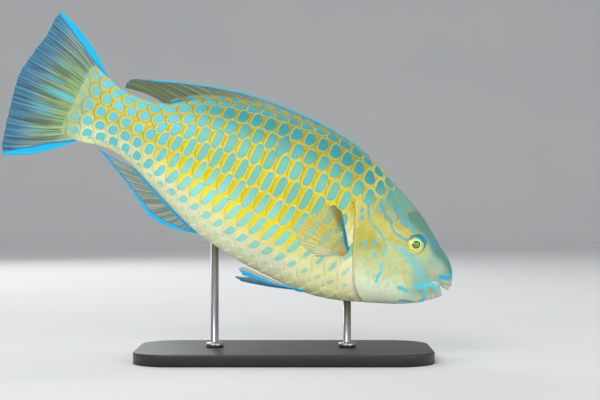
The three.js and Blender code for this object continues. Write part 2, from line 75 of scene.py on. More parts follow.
# Studio, in metres: floor and wall, then each light's name, watts, size, place, aim and colour
FLOOR_FRONT, FLOOR_BACK, WALL_TOP, WALL_ROUND, FLOOR_SIDE = -4.6, 3.4, 5.0, 1.2, 5.0
LIGHTS = [
    ("key", 22, (1.3, 1.0), (-0.7, -1.7, 1.3), (0, 0, 0.18), (1.0, 0.99, 0.98)),
    ("fill", 14, (1.6, 1.2), (1.3, -1.5, 0.35), (0, 0, 0.18), (1.0, 1.0, 0.98)),
    ("top", 26, (2.2, 2.2), (0.0, 0.5, 2.6), (0, 0.2, 0.0), (1, 1, 1)),
    ("back", 16, (1.4, 1.0), (-0.9, 1.9, 1.1), (0, 0, 0.18), (1, 1, 1)),
]
SKY_LIGHT = (0.96, 0.98, 1.0, 1)
SKY_STRENGTH = 0.5

# The fish's sides, as the sign of y and the word in the pieces' names
SIDES = ((-1, "right"), (1, "left"))

# Body: x, back, belly and half width at stations from tail root to snout
STATIONS = np.array([
    (-226, 46.0, -48.0, 0.5), (-212, 41.5, -43.2, 1.3), (-196, 36.6, -38.0, 3.4),
    (-182, 31.6, -34.0, 7.6), (-168, 30.4, -31.0, 10.2), (-142, 33.6, -32.8, 13.6),
    (-130, 37.6, -36.6, 15.6), (-104, 54.8, -46.5, 20.2), (-53, 73.0, -65.0, 28.6),
    (0, 81.9, -74.4, 33.2), (42, 84.6, -75.6, 34.4), (87, 76.8, -73.6, 33.6),
    (112, 67.1, -67.6, 31.6), (150, 51.2, -52.4, 26.2), (176, 35.2, -40.8, 20.6),
    (189, 26.3, -33.2, 17.2), (200, 21.8, -26.2, 15.4), (212.3, 18.5, -23.0, 14.0),
])
WAIST_SHARE = 0.53
SECTION_POWER = 2.17
SNOUT_X, SNOUT_Z = 212.3, -6.0
SNOUT_ROUND_FROM, SNOUT_ROUND_POWER = 190.0, 2.2
TAIL_END = -194.0
SKIN_END = -216.0
# The skin's stations: their distance on the body and on the head, and where each begins
BODY_STEP, HEAD_STEP = 2.6, 0.85
HEAD_FROM, NOSE_FROM = 84, 196
HALF_RING = 130

# Gill cover, and the cheek's plate with its step at x for the height z
GILL_X = 86.7
GILL_TOP_DEGREES = 17.0
GILL_REACH = 60.0
GILL_POWER = 0.9
FLAP_PROUD = 1.2
CHEEK_STEP_X, CHEEK_STEP_Z, CHEEK_STEP_BEND = 137, -8, 0.012

# Nape: where its scales end above the gill cover, low down, and how much further up high
NAPE_X, NAPE_REACH = 96, 50
NAPE_FROM_DEGREES = GILL_TOP_DEGREES + 6

# Eye and nostrils
EYE_X, EYE_Z, EYE_RADIUS, EYE_PROUD = 160.2, 19.2, 11.5, 3.0
CORNEA_PROUD, CORNEA_RADIUS = 0.5, 3.4
PUPIL_X, PUPIL_Z = -0.6, -0.3
ORBIT_X, ORBIT_Z, ORBIT_RADIUS, ORBIT_DEPTH = 161.2, 20.4, 10.2, 3.4
NOSTRILS = [(183.2, 21.8, 0.95), (186.6, 18.9, 0.75)]

# Mouth and beak
MOUTH_CORNER = (200.9, -4.4)
UPPER_LIP_FRONT = (216.0, -2.7)
LIP_SLOPE = (UPPER_LIP_FRONT[1] - MOUTH_CORNER[1]) / (UPPER_LIP_FRONT[0] - MOUTH_CORNER[0])
GAPE = [MOUTH_CORNER, UPPER_LIP_FRONT, (216.0, -30.0), (203.5, -21.8), (201.2, -19.2)]
MOUTH_CREASE = [(201.5, -4.6, 0.4), (197.5, -4.0, 0.5), (192.5, -6.5, 0.5), (189.5, -11, 0.3)]
UPPER_BEAK_EDGE = [(216, -6.8), (212.8, -8.0), (209.8, -8.5), (206.8, -7.8), (203.8, -6.4), (201.2, -4.9)]
LOWER_BEAK = [
    (199.6, -6.4), (202.4, -8.6), (205.2, -11.4), (207.4, -14.4), (208.8, -17.6), (209.3, -21.0),
    (208.4, -24.4), (203.0, -23.4), (199.4, -20.0),
]
BEAK_UNDER_LIP = 0.8
BEAK_INSET = 0.2
BEAK_HOLLOW = 0.75
BEAK_MIDDLE = np.array([196.0, 0.0, -8.0])
BEAK_REAR = 180

# Scales: distance from scale to scale along a row. Each row from back to belly has its
# shares of the body's height at the shoulder, before the tail stalk and on it, the place
# of one scale, its rear end, and the half width, half height and lean of its blue spot
SCALE_PITCH = 14.15
ROWS = [
    (1.000, 1.000, 1.000, 17.4, -40, 5.0, 2.0, 0),
    (0.972, 0.965, 0.970, 24.5, -212, 5.5, 3.2, 0),
    (0.900, 0.891, 0.900, 19.1, -212, 5.3, 6.5, 0),
    (0.795, 0.774, 0.735, 13.0, -212, 5.0, 7.8, 0),
    (0.680, 0.645, 0.640, 20.1, -122, 4.4, 10.2, 0),
    (0.545, 0.505, 0.530, 13.0, -212, 4.0, 11.0, 3),
    (0.403, 0.343, 0.325, 18.4, -212, 3.6, 11.4, 9),
    (0.263, 0.193, 0.150, 23.7, -204, 3.7, 9.4, 17),
    (0.148, 0.069, 0.040, 14.7, -192, 3.5, 4.6, 24),
    (0.063, 0.010, 0.000, 17.3, -90, 2.8, 3.2, 20),
    (0.006, 0.000, 0.000, 10.2, -48, 1.6, 1.6, 0),
]
UPPER_ROWS = 5
# A row is laid from this many scales ahead of its known one, and droops towards the gill cover
ROW_START_STEPS = 9
ROW_DROOP = 0.03
# Where rows have their shares of the tail stalk, before it and at the shoulder, and where
# the colours of the flank turn into those of the tail stalk
ROW_TURNS = (-150.0, -104.5, -62.0)
STALK_FROM, STALK_TO = -105, -150
# Half width and height of the spots on the tail stalk, and how deep a body has full spots
TAIL_SPOT = (4.6, 4.6)
DEEP_BODY = 138
# How square the spots are, and how much scales and spots differ among themselves, by chance
SPOT_POWER = 2.7
LIFT_SPREAD, SPOT_WIDTH_SPREAD, SPOT_HEIGHT_SPREAD = 0.02, 0.08, 0.07
# One scale of the right side has a larger spot: its place, its row and how much larger
ODD_SCALE_X, ODD_SCALE_ROW, ODD_SCALE_GROWTH = -7.7, 3, (1.35, 1.5)

# A scale's plate: its reach forwards and to the rear, its share of the gap between rows, how
# deep its bed is, how far its rear rises over its front and how much less low on the belly,
# its crown and its thickness, then its points along and across
PLATE_FRONT, PLATE_REAR, PLATE_SHARE = 10.5, 8.7, 0.88
SCALE_BED = 0.45
PLATE_RISE, PLATE_RISE_LESS_LOW = 0.62, 0.27
PLATE_CROWN, PLATE_THICKNESS = 0.1, 0.36
PLATE_P, PLATE_Q = np.meshgrid(np.linspace(0, 1, 9), np.linspace(-1, 1, 13), indexing="ij")
# The bake layout: scales in one line, and the free edge round a fin's faces
LAYOUT_COLUMNS = 24
LAYOUT_EDGE = 0.01

# Fins: each one's build has its rays, half thickness at the root, points from ray to ray and
# along a ray, notches between rays, start of the rays' forks, and bow at its first and last ray
DORSAL_BUILD = dict(rays=19, root_half=1.1, per_ray=14, rows=44, notch=1.3, split=0.5, bow=(0.2, 2.5))
ANAL_BUILD = dict(rays=12, root_half=1.1, per_ray=18, rows=44, notch=1.2, split=0.45, bow=(-0.8, -0.8))
CAUDAL_BUILD = dict(rays=15, root_half=0.9, per_ray=24, rows=72, notch=0.8, split=0.1, bow=(5.5, -5.5))
PECTORAL_BUILD = dict(
    rays=13, root_half=1.5, per_ray=18, rows=52, notch=1.6, split=0.35, bow=(5.0, 5.0), stout=0.7,
)
PELVIC_BUILD = dict(rays=6, root_half=1.4, per_ray=20, rows=52, notch=1.0, split=0.4, bow=(-1.6, 0.0))
DORSAL_ROOT = (84.0, -130.0)
DORSAL_EDGE = [
    (78, 81.2), (61.2, 85), (23, 88.5), (-15.3, 87.7), (-53.6, 83.6), (-91.8, 74.7),
    (-130, 62), (-155.5, 51.8), (-173.4, 43.4), (-176, 38.5), (-174.6, 33.2),
]
ANAL_ROOT = (-43.4, -127.0)
ANAL_EDGE = [
    (-46, -69), (-57, -72.6), (-75, -75.2), (-88, -74.6), (-96.9, -73.1), (-112, -65),
    (-130, -54.8), (-155.5, -42.6), (-173.4, -34.2),
]
CAUDAL_ROOT = (35.4, -36.8)
CAUDAL_EDGE = [
    (-267.6, 75.2), (-270.2, 66), (-270.6, 48), (-275, 25), (-278.2, 0), (-276, -18),
    (-271.6, -38), (-267, -58), (-261.5, -76), (-257, -83.2),
]
PECTORAL_ROOT = [(100.4, -13.2), (100.0, -17.5), (97.4, -22.6)]
PECTORAL_EDGE = [
    (76.5, 16.6, 51), (66, 18.5, 51), (55, 6, 50), (47, -8, 48), (45.4, -20, 43),
    (50, -28, 36), (62, -32, 28), (74.5, -34.6, 20),
]
LEFT_FLARE = 0.7
PELVIC_ROOT = [(80, 9.5), (77, 7), (73.5, 4.5)]
PELVIC_EDGES = {
    -1: [(17, 15.5, -84.9), (11, 15, -81), (13.5, 12, -77.6), (36, 7, -77.4)],
    1: [(18, 24, -93.8), (10.2, 23, -92.2), (18, 19, -88.4), (38, 9.5, -80.6)],
}
FIN_SINK = 1.4
# Half thickness of the fins' skin, and of a ray over it, its half width and joints; each pair
# is the size at the root and what it loses by the edge
FIN_SKIN_HALF = 0.2
RAY_HEIGHT, RAY_HEIGHT_LOSS = 0.5, 0.28
RAY_WIDTH, RAY_WIDTH_LOSS = 0.62, 0.3
RAY_JOINT_STEP, RAY_JOINT_DEPTH = 2.2, 0.12
# How fast the blue dashes of the dorsal fin and the scallops of the anal fin's base follow
# each other along the body
DORSAL_DASH_PACE, ANAL_SCALLOP_PACE = 44.4, 83.0
DASH_HEIGHT, DASH_HALF = 3.6, 1.7

# The head's blue lines as x, z and width, from the front or the eye backwards
HEAD_LINES = [
    [(152.5, 30.2, 3.6), (147.5, 33, 5.2), (140, 36, 8.5), (131, 39.5, 4.2), (127, 42, 5.0),
     (124, 46, 3.5)],
    [(151, 19.2, 3.2), (143, 19.6, 3.8), (135.5, 20.2, 3.2), (130.5, 24.3, 3.0), (126.5, 29.5, 3.2),
     (122, 31, 2.8), (116, 35.5, 2.6), (111, 40, 3.2)],
    [(100, 33, 3.4), (103, 26, 3.0), (108, 21, 2.2), (116, 17, 1.8), (123, 13.5, 2.0), (127, 11.5, 2.4),
     (131, 7, 1.6), (134.5, 2.5, 1.6), (134.5, -3, 1.8), (137.5, -9, 1.6), (137.5, -15, 1.8),
     (140.5, -20, 2.0), (139.5, -26, 3.4), (140.5, -31, 2.8)],
    [(201, -14.5, 4.6), (196, -10.5, 5.6), (190, -9.2, 4.0), (186, -12, 5.6), (182, -17.5, 6.2),
     (178, -19.2, 4.6)],
    [(187, -13, 4.5), (190.5, -19, 4.6), (192.3, -25.5, 5.0), (191.5, -31.5, 5.0)],
    [(163.5, -26.5, 4.5), (172, -26.8, 5.2)],
    [(171, -38.5, 3.4), (179, -35.5, 3.4), (184, -34, 2.6)],
]
LIP_LINE = [(197.5, 0.5, 5.0), (203.5, 3.2, 5.6), (209.5, 6.5, 5.6), (213, 9, 5.0)]
UNDER_EYE_LINE = [
    (139, 8, 4), (150, 8.5, 8), (162, 5, 11), (171, 0, 12), (177, -6, 12), (183, -11, 9), (190, -10, 4),
]
# Small blue dots on the gill cover, and the last blue spots on the tail: x, z, radius along, radius up
HEAD_DOTS = [
    (96, 27, 2.2, 3.2), (99, 19.5, 2.6, 2.6), (113, -2, 2.4, 3.6), (121, 3, 1.8, 4.2),
    (126.5, -8, 1.6, 3.6),
]
TAIL_DOTS = [
    (-205, 15.5, 5.2, 4.6), (-213, 27, 4.4, 3.2), (-196, -14, 4.2, 3.6), (-199, -28, 4, 3),
    (-212, -1, 5, 3.2),
]
# The head's soft patches: strength, x, z, radius along, radius up and turn in degrees
HEAD_PATCHES = {
    "ochre": [
        (1.2, 143.5, 27, 8.5, 4.4, -6), (1.0, 141, 13.5, 15, 5.2, 4), (0.95, 117, 27.5, 10, 6.5, 0),
        (1.0, 104, 12, 17, 19, 0), (0.55, 120, 4, 18, 14, 0), (0.6, 96, -8, 12, 22, 0),
        (0.7, 194, -17.8, 7.5, 5.2, 0), (0.35, 181, -10, 7, 4, 0), (0.35, 165, 8.5, 10, 2.6, 0),
        (0.4, 172.5, 22, 2.8, 7, 0),
    ],
    "teal": [(1.0, 178, 30, 9, 6, -35), (0.5, 198, 18, 12, 4, -50), (0.3, 165, 36, 9, 5, 0)],
    "tan": [(1.0, 207.5, -0.5, 7, 2.8, 12), (0.65, 189, 3, 10, 7, 0)],
    "pale": [(1.0, 195, -7, 4.5, 2.6, -10), (0.8, 199, -24, 4, 5, 0)],
    "smudge": [(0.8, 124, 2, 9, 4.5, -20), (0.5, 113, -4, 8, 4, 0)],
}
# The blue disc over the eye, which shows as a crescent above it
EYE_CAP_X, EYE_CAP_Z, EYE_CAP_RADIUS = EYE_X + 2.0, EYE_Z + 2.8, 8.6

# Colours, as 0 to 255 screen values: the head
CROWN = (84, 134, 116)
CHEEK = (194, 208, 146)
CHIN = (232, 246, 212)
SNOUT = (126, 168, 148)
GOLD_FLECK = (206, 188, 88)
GREEN_FLECK = (150, 202, 176)
OCHRE = (188, 178, 62)
SMUDGE = (122, 128, 62)
UNDER_EYE = (116, 194, 194)
BROW = (72, 142, 150)
MUZZLE_TAN = (196, 184, 146)
MUZZLE_PALE = (196, 208, 208)
LINES_LOW_AND_HIGH = (92, 206, 222), (78, 164, 172)
LIP_BLUE = (16, 172, 204)
EYE_CAP = (20, 152, 184)
GILL_SEAM = (232, 230, 220)
GILL_FOLD = (150, 128, 62)
GILL_LOBE = (224, 206, 96)
MOUTH_LINING = (92, 66, 62), (58, 40, 42)
ENAMEL_SEAM_AND_FACE = (168, 184, 164), (190, 206, 188)
ENAMEL_STAIN = (132, 168, 158)

# Colours of the eye: the pupil's painted green reflection from its middle to its edge, then each
# ring after it with the distances from the middle between which it comes in
PUPIL_PAINTED_REFLECTION = (34, 96, 28), (72, 158, 36)
IRIS_RINGS = [
    (2.8, 3.3, (14, 30, 20)), (3.9, 4.4, (244, 242, 196)), (4.9, 5.4, (236, 214, 6)),
    (7.3, 7.8, (240, 232, 150)), (8.2, 8.8, (196, 210, 170)),
]
EYE_LID = (8, 160, 190)

# Colours of the ground between the spots
NAPE_LOW_AND_HIGH = (196, 190, 100), (112, 160, 138)
NAPE_REAR = (200, 188, 84)
CHEST = (246, 244, 188)
NET_BACK_AND_FLANK = (136, 132, 34), (218, 196, 0)
NET_LOW = (238, 226, 60)
NET_BELLY = (234, 236, 200)
STALK_LOW_AND_HIGH = (222, 222, 176), (192, 184, 66)
TAIL_BASE = (146, 178, 144), (172, 186, 112)

# Colours of the spots, with the light halo and the golden ring about each
SPOT_BACK_AND_FLANK = (56, 142, 144), (120, 190, 168)
SPOT_LOW = (156, 222, 206)
SPOT_STALK = (106, 194, 198)
SPOT_NAPE = (104, 168, 152)
SPOT_EDGE = (40, 150, 176)
SPOT_CHEST = (116, 210, 216)
HALO_LOW_AND_HIGH = (232, 236, 150), (188, 196, 120)
RING_FLANK_AND_STALK = (172, 146, 44), (198, 172, 54)
NAPE_LINE = (74, 158, 168)

# Colours of the fins; a pair runs from front to rear, root to edge or dark to light
AZURE = (0, 180, 224)
DORSAL_SKIN = (142, 166, 144), (88, 108, 82)
DORSAL_RAYS = (206, 158, 84), (88, 76, 40)
DORSAL_PLEAT = (92, 92, 58)
DORSAL_PALE = (214, 192, 132), (156, 156, 112)
DORSAL_SHEATH = (168, 164, 84)
DORSAL_DASH = (58, 160, 186)
DORSAL_SHADE = (64, 104, 116)
ANAL_SKIN = (100, 124, 124), (138, 156, 148)
ANAL_RAYS = (182, 158, 126)
ANAL_SHADE = (90, 110, 170)
ANAL_BASE = (30, 166, 208)
ANAL_LAST_RAY = (44, 156, 206)
CAUDAL_GREY = (76, 98, 90), (134, 160, 146)
CAUDAL_OLIVE = (92, 128, 86), (144, 178, 120)
CAUDAL_FLAME = (76, 100, 84)
CAUDAL_STREAK = (72, 156, 184)
CAUDAL_REAR = (44, 68, 92), (50, 130, 168)
CAUDAL_RAYS = (186, 190, 140), (84, 150, 188)
CAUDAL_MIDDLE = (84, 186, 204)
CAUDAL_DOTS = (96, 196, 214)
CAUDAL_SHADE = (30, 120, 176)
CAUDAL_RIM = (30, 150, 206)
PECTORAL_SKIN = (184, 184, 104), (216, 218, 150)
PECTORAL_SKIN_LOW = (214, 214, 190)
PECTORAL_RAYS = (232, 204, 60), (206, 222, 190)
PECTORAL_RAYS_LOW = (206, 196, 156)
PECTORAL_BROWN = (132, 104, 30)
PECTORAL_BASE = (206, 150, 60)
PECTORAL_LEADING = (20, 156, 208)
PECTORAL_TRAILING = (92, 184, 208)
PELVIC_SKIN_AND_RAYS = (168, 172, 156), (204, 186, 150)
PELVIC_LEADING = (30, 160, 220)
PELVIC_TRAILING = (46, 168, 214)

# Colours of the stand and the floor
SATIN_BLACK = (34, 35, 38), (50, 51, 54)
BRUSHED_STEEL = (150, 152, 155), (190, 192, 194)
FLOOR_PAPER = (206, 208, 209), (214, 215, 215)


def smooth_curve(xs, ys):
    """A smooth curve through known values, with slopes from their neighbours."""
    rise = np.diff(ys) / np.diff(xs)
    before, after = np.diff(xs)[:-1], np.diff(xs)[1:]
    inner = (after * rise[:-1] + before * rise[1:]) / (before + after)
    slopes = np.concatenate([rise[:1], inner, rise[-1:]])

    def value(x):
        i = np.clip(np.searchsorted(xs, x) - 1, 0, len(xs) - 2)
        span = xs[i + 1] - xs[i]
        t = (x - xs[i]) / span
        ease = t * t * (3 - 2 * t)
        leave = span * slopes[i] * t * (1 - t) ** 2
        arrive = span * slopes[i + 1] * t * t * (t - 1)
        return ys[i] + (ys[i + 1] - ys[i]) * ease + leave + arrive

    return value


back_line, belly_line, width_line = (smooth_curve(STATIONS[:, 0], STATIONS[:, i]) for i in (1, 2, 3))


def smoothstep(low, high, value):
    t = np.clip((value - low) / (high - low), 0, 1)
    return t * t * (3 - 2 * t)


def bump(value, centre, spread):
    return np.exp(-(((value - centre) / spread) ** 2))


def joined(*parts):
    """Vectors from their parts."""
    return np.stack(parts, axis=-1)


def section(x):
    """Back, belly, waist and half width of the body at x."""
    share = np.clip((x - SNOUT_ROUND_FROM) / (SNOUT_X - SNOUT_ROUND_FROM), 0, 1)
    rounding = np.sqrt(np.maximum(0, 1 - share ** SNOUT_ROUND_POWER))
    back = SNOUT_Z + (back_line(x) - SNOUT_Z) * rounding
    belly = SNOUT_Z + (belly_line(x) - SNOUT_Z) * rounding
    return back, belly, belly + (back - belly) * WAIST_SHARE, width_line(x) * rounding


def height_share(x, z):
    """A place's share of the body's height, 0 at the belly and 1 at the back."""
    back, belly, _, _ = section(x)
    return (z - belly) / np.maximum(back - belly, 1)


def side_width(x, z):
    """Half the body's width at a place in side view."""
    back, belly, waist, half = section(x)
    reach = np.where(z > waist, back - waist, waist - belly)
    share = np.clip(np.abs(z - waist) / reach, 0, 1)
    return half * (1 - share ** SECTION_POWER) ** (1 / SECTION_POWER)


def placed(points):
    """Points of the fish's level frame, nose down and in metres of the row frame."""
    points = np.asarray(points, float)
    x, y, z = points[..., 0], points[..., 1], points[..., 2]
    turned_x = x * math.cos(DIVE) + z * math.sin(DIVE) + FISH_X
    turned_z = z * math.cos(DIVE) - x * math.sin(DIVE) + FISH_Z
    return joined(turned_x, y, turned_z) / 1000


class Girth:
    """The right half of the skin, read by x and by a share g from belly 0 to back 1."""

    def __init__(self):
        nose = SNOUT_X - (SNOUT_X - 200) * np.linspace(1, 0, 30) ** 2
        self.xs = np.concatenate([np.arange(SKIN_END - 9, 200, 1.0), nose])
        self.gs = np.linspace(0, 1, 301)
        rings = [self.ring(x) for x in self.xs]
        self.y, self.z = (np.array([ring[i] for ring in rings]) for i in (0, 1))
        self.length = np.array([ring[2] for ring in rings])
        self.normal = self.normals()

    def ring(self, x):
        """Sides and heights at even shares of one ring, and the ring's length."""
        angles = np.linspace(-math.pi / 2, math.pi / 2, 721)
        up, out = np.sin(angles), np.maximum(np.cos(angles), 0)
        back, belly, waist, half = section(x)
        reach = np.where(up > 0, back - waist, waist - belly)
        y = half * out ** (2 / SECTION_POWER)
        z = waist + reach * np.sign(up) * np.abs(up) ** (2 / SECTION_POWER)
        run = np.concatenate([[0], np.cumsum(np.hypot(np.diff(y), np.diff(z)))])
        share = run / run[-1] if run[-1] > 1e-6 else np.linspace(0, 1, len(run))
        return np.interp(self.gs, share, y), np.interp(self.gs, share, z), run[-1]

    def normals(self):
        grid_x = np.repeat(self.xs[:, None], len(self.gs), axis=1)
        points = joined(grid_x, self.y, self.z)
        normal = np.cross(np.gradient(points, axis=1), np.gradient(points, axis=0))
        return normal / np.maximum(np.linalg.norm(normal, axis=-1, keepdims=True), 1e-9)

    def read(self, table, x, g):
        i = np.clip(np.searchsorted(self.xs, x) - 1, 0, len(self.xs) - 2)
        fx = np.clip((x - self.xs[i]) / (self.xs[i + 1] - self.xs[i]), 0, 1)
        gj = np.clip(g, 0, 1) * (len(self.gs) - 1)
        j = np.clip(gj.astype(int), 0, len(self.gs) - 2)
        fg = gj - j
        if table.ndim == 3:
            fx, fg = fx[..., None], fg[..., None]
        low = table[i, j] * (1 - fg) + table[i, j + 1] * fg
        high = table[i + 1, j] * (1 - fg) + table[i + 1, j + 1] * fg
        return low * (1 - fx) + high * fx

    def point(self, x, g):
        return joined(x, self.read(self.y, x, g), self.read(self.z, x, g))

    def outward(self, x, g):
        normal = self.read(self.normal, x, g)
        return normal / np.maximum(np.linalg.norm(normal, axis=-1, keepdims=True), 1e-9)

    def girth(self, x):
        return float(np.interp(x, self.xs, self.length))

    def share_at_height(self, x, wanted_share):
        """The share g of the skin at a share of the body's height, for one x."""
        i = int(np.clip(np.searchsorted(self.xs, x), 0, len(self.xs) - 1))
        column = self.z[i]
        wanted = column[0] + (column[-1] - column[0]) * wanted_share
        return float(np.interp(wanted, column, self.gs))


skin_map = Girth()


def around_body(xs, half_ring):
    """A grid of stations and shares round the body, and the side of each column."""
    g = np.concatenate([np.linspace(1, 0, half_ring), np.linspace(0, 1, half_ring)[1:-1]])
    side = np.concatenate([-np.ones(half_ring), np.ones(half_ring - 2)])
    grid_x, grid_g = np.meshgrid(xs, g, indexing="ij")
    return grid_x, grid_g, side


def gill_edge(x, z):
    """The station of the gill cover's rear edge at a place, and the place's rise in degrees."""
    back, belly, waist, _ = section(x)
    reach = np.where(z > waist, back - waist, waist - belly)
    share = np.clip(np.abs(z - waist) / np.maximum(reach, 1e-6), 0, 1)
    rise = np.degrees(np.arcsin(share ** (SECTION_POWER / 2))) * np.sign(z - waist)
    along = np.clip((GILL_TOP_DEGREES - rise) / (GILL_TOP_DEGREES + 90), 0, None)
    return GILL_X + GILL_REACH * along ** GILL_POWER, rise


# Meshes
def outward(points, faces):
    """Faces in groups of one size each, turned so that the surface faces outwards."""
    volume = 0.0
    for group in faces:
        first = points[group[:, 0]]
        for i in range(1, group.shape[1] - 1):
            volume += np.sum(first * np.cross(points[group[:, i]], points[group[:, i + 1]]))
    return faces if volume > 0 else [group[:, ::-1] for group in faces]


def grid_faces(rows, columns, wrap=False):
    """Quads of a grid of points stored row by row; wrap joins the last column to the first."""
    r = np.arange(rows - 1)[:, None] * columns
    c = np.arange(columns if wrap else columns - 1)[None, :]
    after = (c + 1) % columns
    return joined(r + c, r + after, r + columns + after, r + columns + c).reshape(-1, 4)


def plate_faces(rows, columns):
    """Faces of a thin closed plate: a grid of points, the same grid beneath it and their rim."""
    count = rows * columns
    quads = grid_faces(rows, columns)
    loop = np.concatenate([
        np.arange(columns), np.arange(1, rows) * columns + columns - 1,
        (rows - 1) * columns + np.arange(columns - 2, -1, -1), np.arange(rows - 2, 0, -1) * columns,
    ])
    after = np.roll(loop, -1)
    rim = joined(after, loop, loop + count, after + count)
    return np.concatenate([quads, quads[:, ::-1] + count, rim])


def on_both_faces(values, width):
    """A plate's values for its upper points and again for its under ones."""
    return np.tile(values.reshape(-1, width), (2, 1))


def tube(grid, start, end):
    """Points and faces of a closed skin over rings of points, with a fan on each end."""
    rows, columns = grid.shape[:2]
    ring = np.arange(columns)
    after = np.roll(ring, -1)
    last = (rows - 1) * columns
    first_fan = joined(after, ring, np.full(columns, rows * columns))
    last_fan = joined(last + ring, last + after, np.full(columns, rows * columns + 1))
    vertices = np.concatenate([grid.reshape(-1, 3), [start, end]])
    return vertices, [grid_faces(rows, columns, wrap=True), first_fan, last_fan]


def new_object(name, vertices, faces, metres=False):
    """A mesh piece; its points are given in the fish's level frame unless metres is set."""
    mesh = bpy.data.meshes.new(name)
    points = np.asarray(vertices, float) if metres else placed(vertices)
    faces = outward(points, [np.asarray(group) for group in faces])
    sizes = np.concatenate([np.full(len(part), part.shape[1]) for part in faces])
    loops = np.concatenate([part.reshape(-1) for part in faces])
    mesh.vertices.add(len(points))
    mesh.vertices.foreach_set("co", points.astype(np.float32).reshape(-1))
    mesh.loops.add(len(loops))
    mesh.loops.foreach_set("vertex_index", loops.astype(np.int32))
    mesh.polygons.add(len(sizes))
    starts = np.concatenate([[0], np.cumsum(sizes)[:-1]])
    mesh.polygons.foreach_set("loop_start", starts.astype(np.int32))
    mesh.polygons.foreach_set("use_smooth", np.ones(len(sizes), bool))
    mesh.update(calc_edges=True)
    mesh.validate()
    piece = bpy.data.objects.new(name, mesh)
    bpy.context.scene.collection.objects.link(piece)
    return piece


def corner_vertices(mesh):
    """The vertex at every corner of the faces."""
    index = np.empty(len(mesh.loops), np.int32)
    mesh.loops.foreach_get("vertex_index", index)
    return index


def set_corner_uv(mesh, places):
    """The bake layout, from one place for each corner."""
    layer = mesh.uv_layers.new(name="OFBake")
    layer.data.foreach_set("uv", np.asarray(places, np.float32).reshape(-1))


def set_uv(piece, per_vertex):
    """The bake layout, from one place for each vertex."""
    set_corner_uv(piece.data, np.asarray(per_vertex)[corner_vertices(piece.data)])


def set_wrapped_uv(piece, u, v):
    """The bake layout of a closed skin, whose last faces run from v just below 1 to 1."""
    mesh = piece.data
    index = corner_vertices(mesh)
    corner_v = v[index]
    sizes = np.empty(len(mesh.polygons), np.int32)
    mesh.polygons.foreach_get("loop_total", sizes)
    face = np.repeat(np.arange(len(sizes)), sizes)
    highest = np.zeros(len(sizes))
    np.maximum.at(highest, face, corner_v)
    corner_v = np.where((highest[face] > 0.9) & (corner_v < 0.1), 1.0, corner_v)
    set_corner_uv(mesh, joined(u[index], corner_v))


def set_fields(piece, **fields):
    """Named values on the vertices, each a number or a vector of three."""
    for name, values in fields.items():
        width = values.size // len(piece.data.vertices)
        kind, part = ("FLOAT_VECTOR", "vector") if width == 3 else ("FLOAT", "value")
        attribute = piece.data.attributes.new(name, kind, "POINT")
        attribute.data.foreach_set(part, values.astype(np.float32).reshape(-1))


def apply_modifiers(piece):
    bpy.context.view_layer.update()
    graph = bpy.context.evaluated_depsgraph_get()
    mesh = bpy.data.meshes.new_from_object(piece.evaluated_get(graph))
    piece.modifiers.clear()
    piece.data = mesh


def boolean(piece, other, operation):
    cut = piece.modifiers.new("cut", "BOOLEAN")
    cut.object = other
    cut.operation = operation
    cut.solver = "EXACT"
    cut.material_mode = "TRANSFER"
    apply_modifiers(piece)
    bpy.data.objects.remove(other)


def prism(name, outline, width=40.0):
    """A block across the fish with an outline in side view."""
    rim = np.array(outline, float)
    count = len(rim)
    near = np.column_stack([rim[:, 0], np.full(count, -width), rim[:, 1]])
    around = np.arange(count)
    after = np.roll(around, -1)
    walls = joined(around, after, after + count, around + count)
    ends = [around[None, ::-1], around[None] + count]
    return new_object(name, np.concatenate([near, near * (1, -1, 1)]), [walls, *ends])


# Node materials
def arithmetic(operation, swapped=False):
    """An operator that adds a math node to the material."""
    def act(self, *others):
        values = (*others, self) if swapped else (self, *others)
        return self.nodes.math(operation, *values)
    return act


class Signal:
    """A value, place or colour within a material, open to plain arithmetic."""

    __add__ = __radd__ = arithmetic("ADD")
    __mul__ = __rmul__ = arithmetic("MULTIPLY")
    __sub__ = arithmetic("SUBTRACT")
    __rsub__ = arithmetic("SUBTRACT", swapped=True)
    __truediv__ = arithmetic("DIVIDE")
    __pow__ = arithmetic("POWER")
    __abs__ = arithmetic("ABSOLUTE")
    sine = arithmetic("SINE")
    square_root = arithmetic("SQRT")
    at_least = arithmetic("MAXIMUM")
    at_most = arithmetic("MINIMUM")

    def __init__(self, nodes, socket):
        self.nodes = nodes
        self.socket = socket

    def step(self, low, high):
        """A soft step from 0 at low to 1 at high, or falling when low is above high."""
        falling = low > high
        inputs = {
            "Value": self, "From Min": min(low, high), "From Max": max(low, high),
            "To Min": float(falling), "To Max": float(not falling),
        }
        return self.nodes.add("MapRange", "Result", inputs, interpolation_type="SMOOTHSTEP")


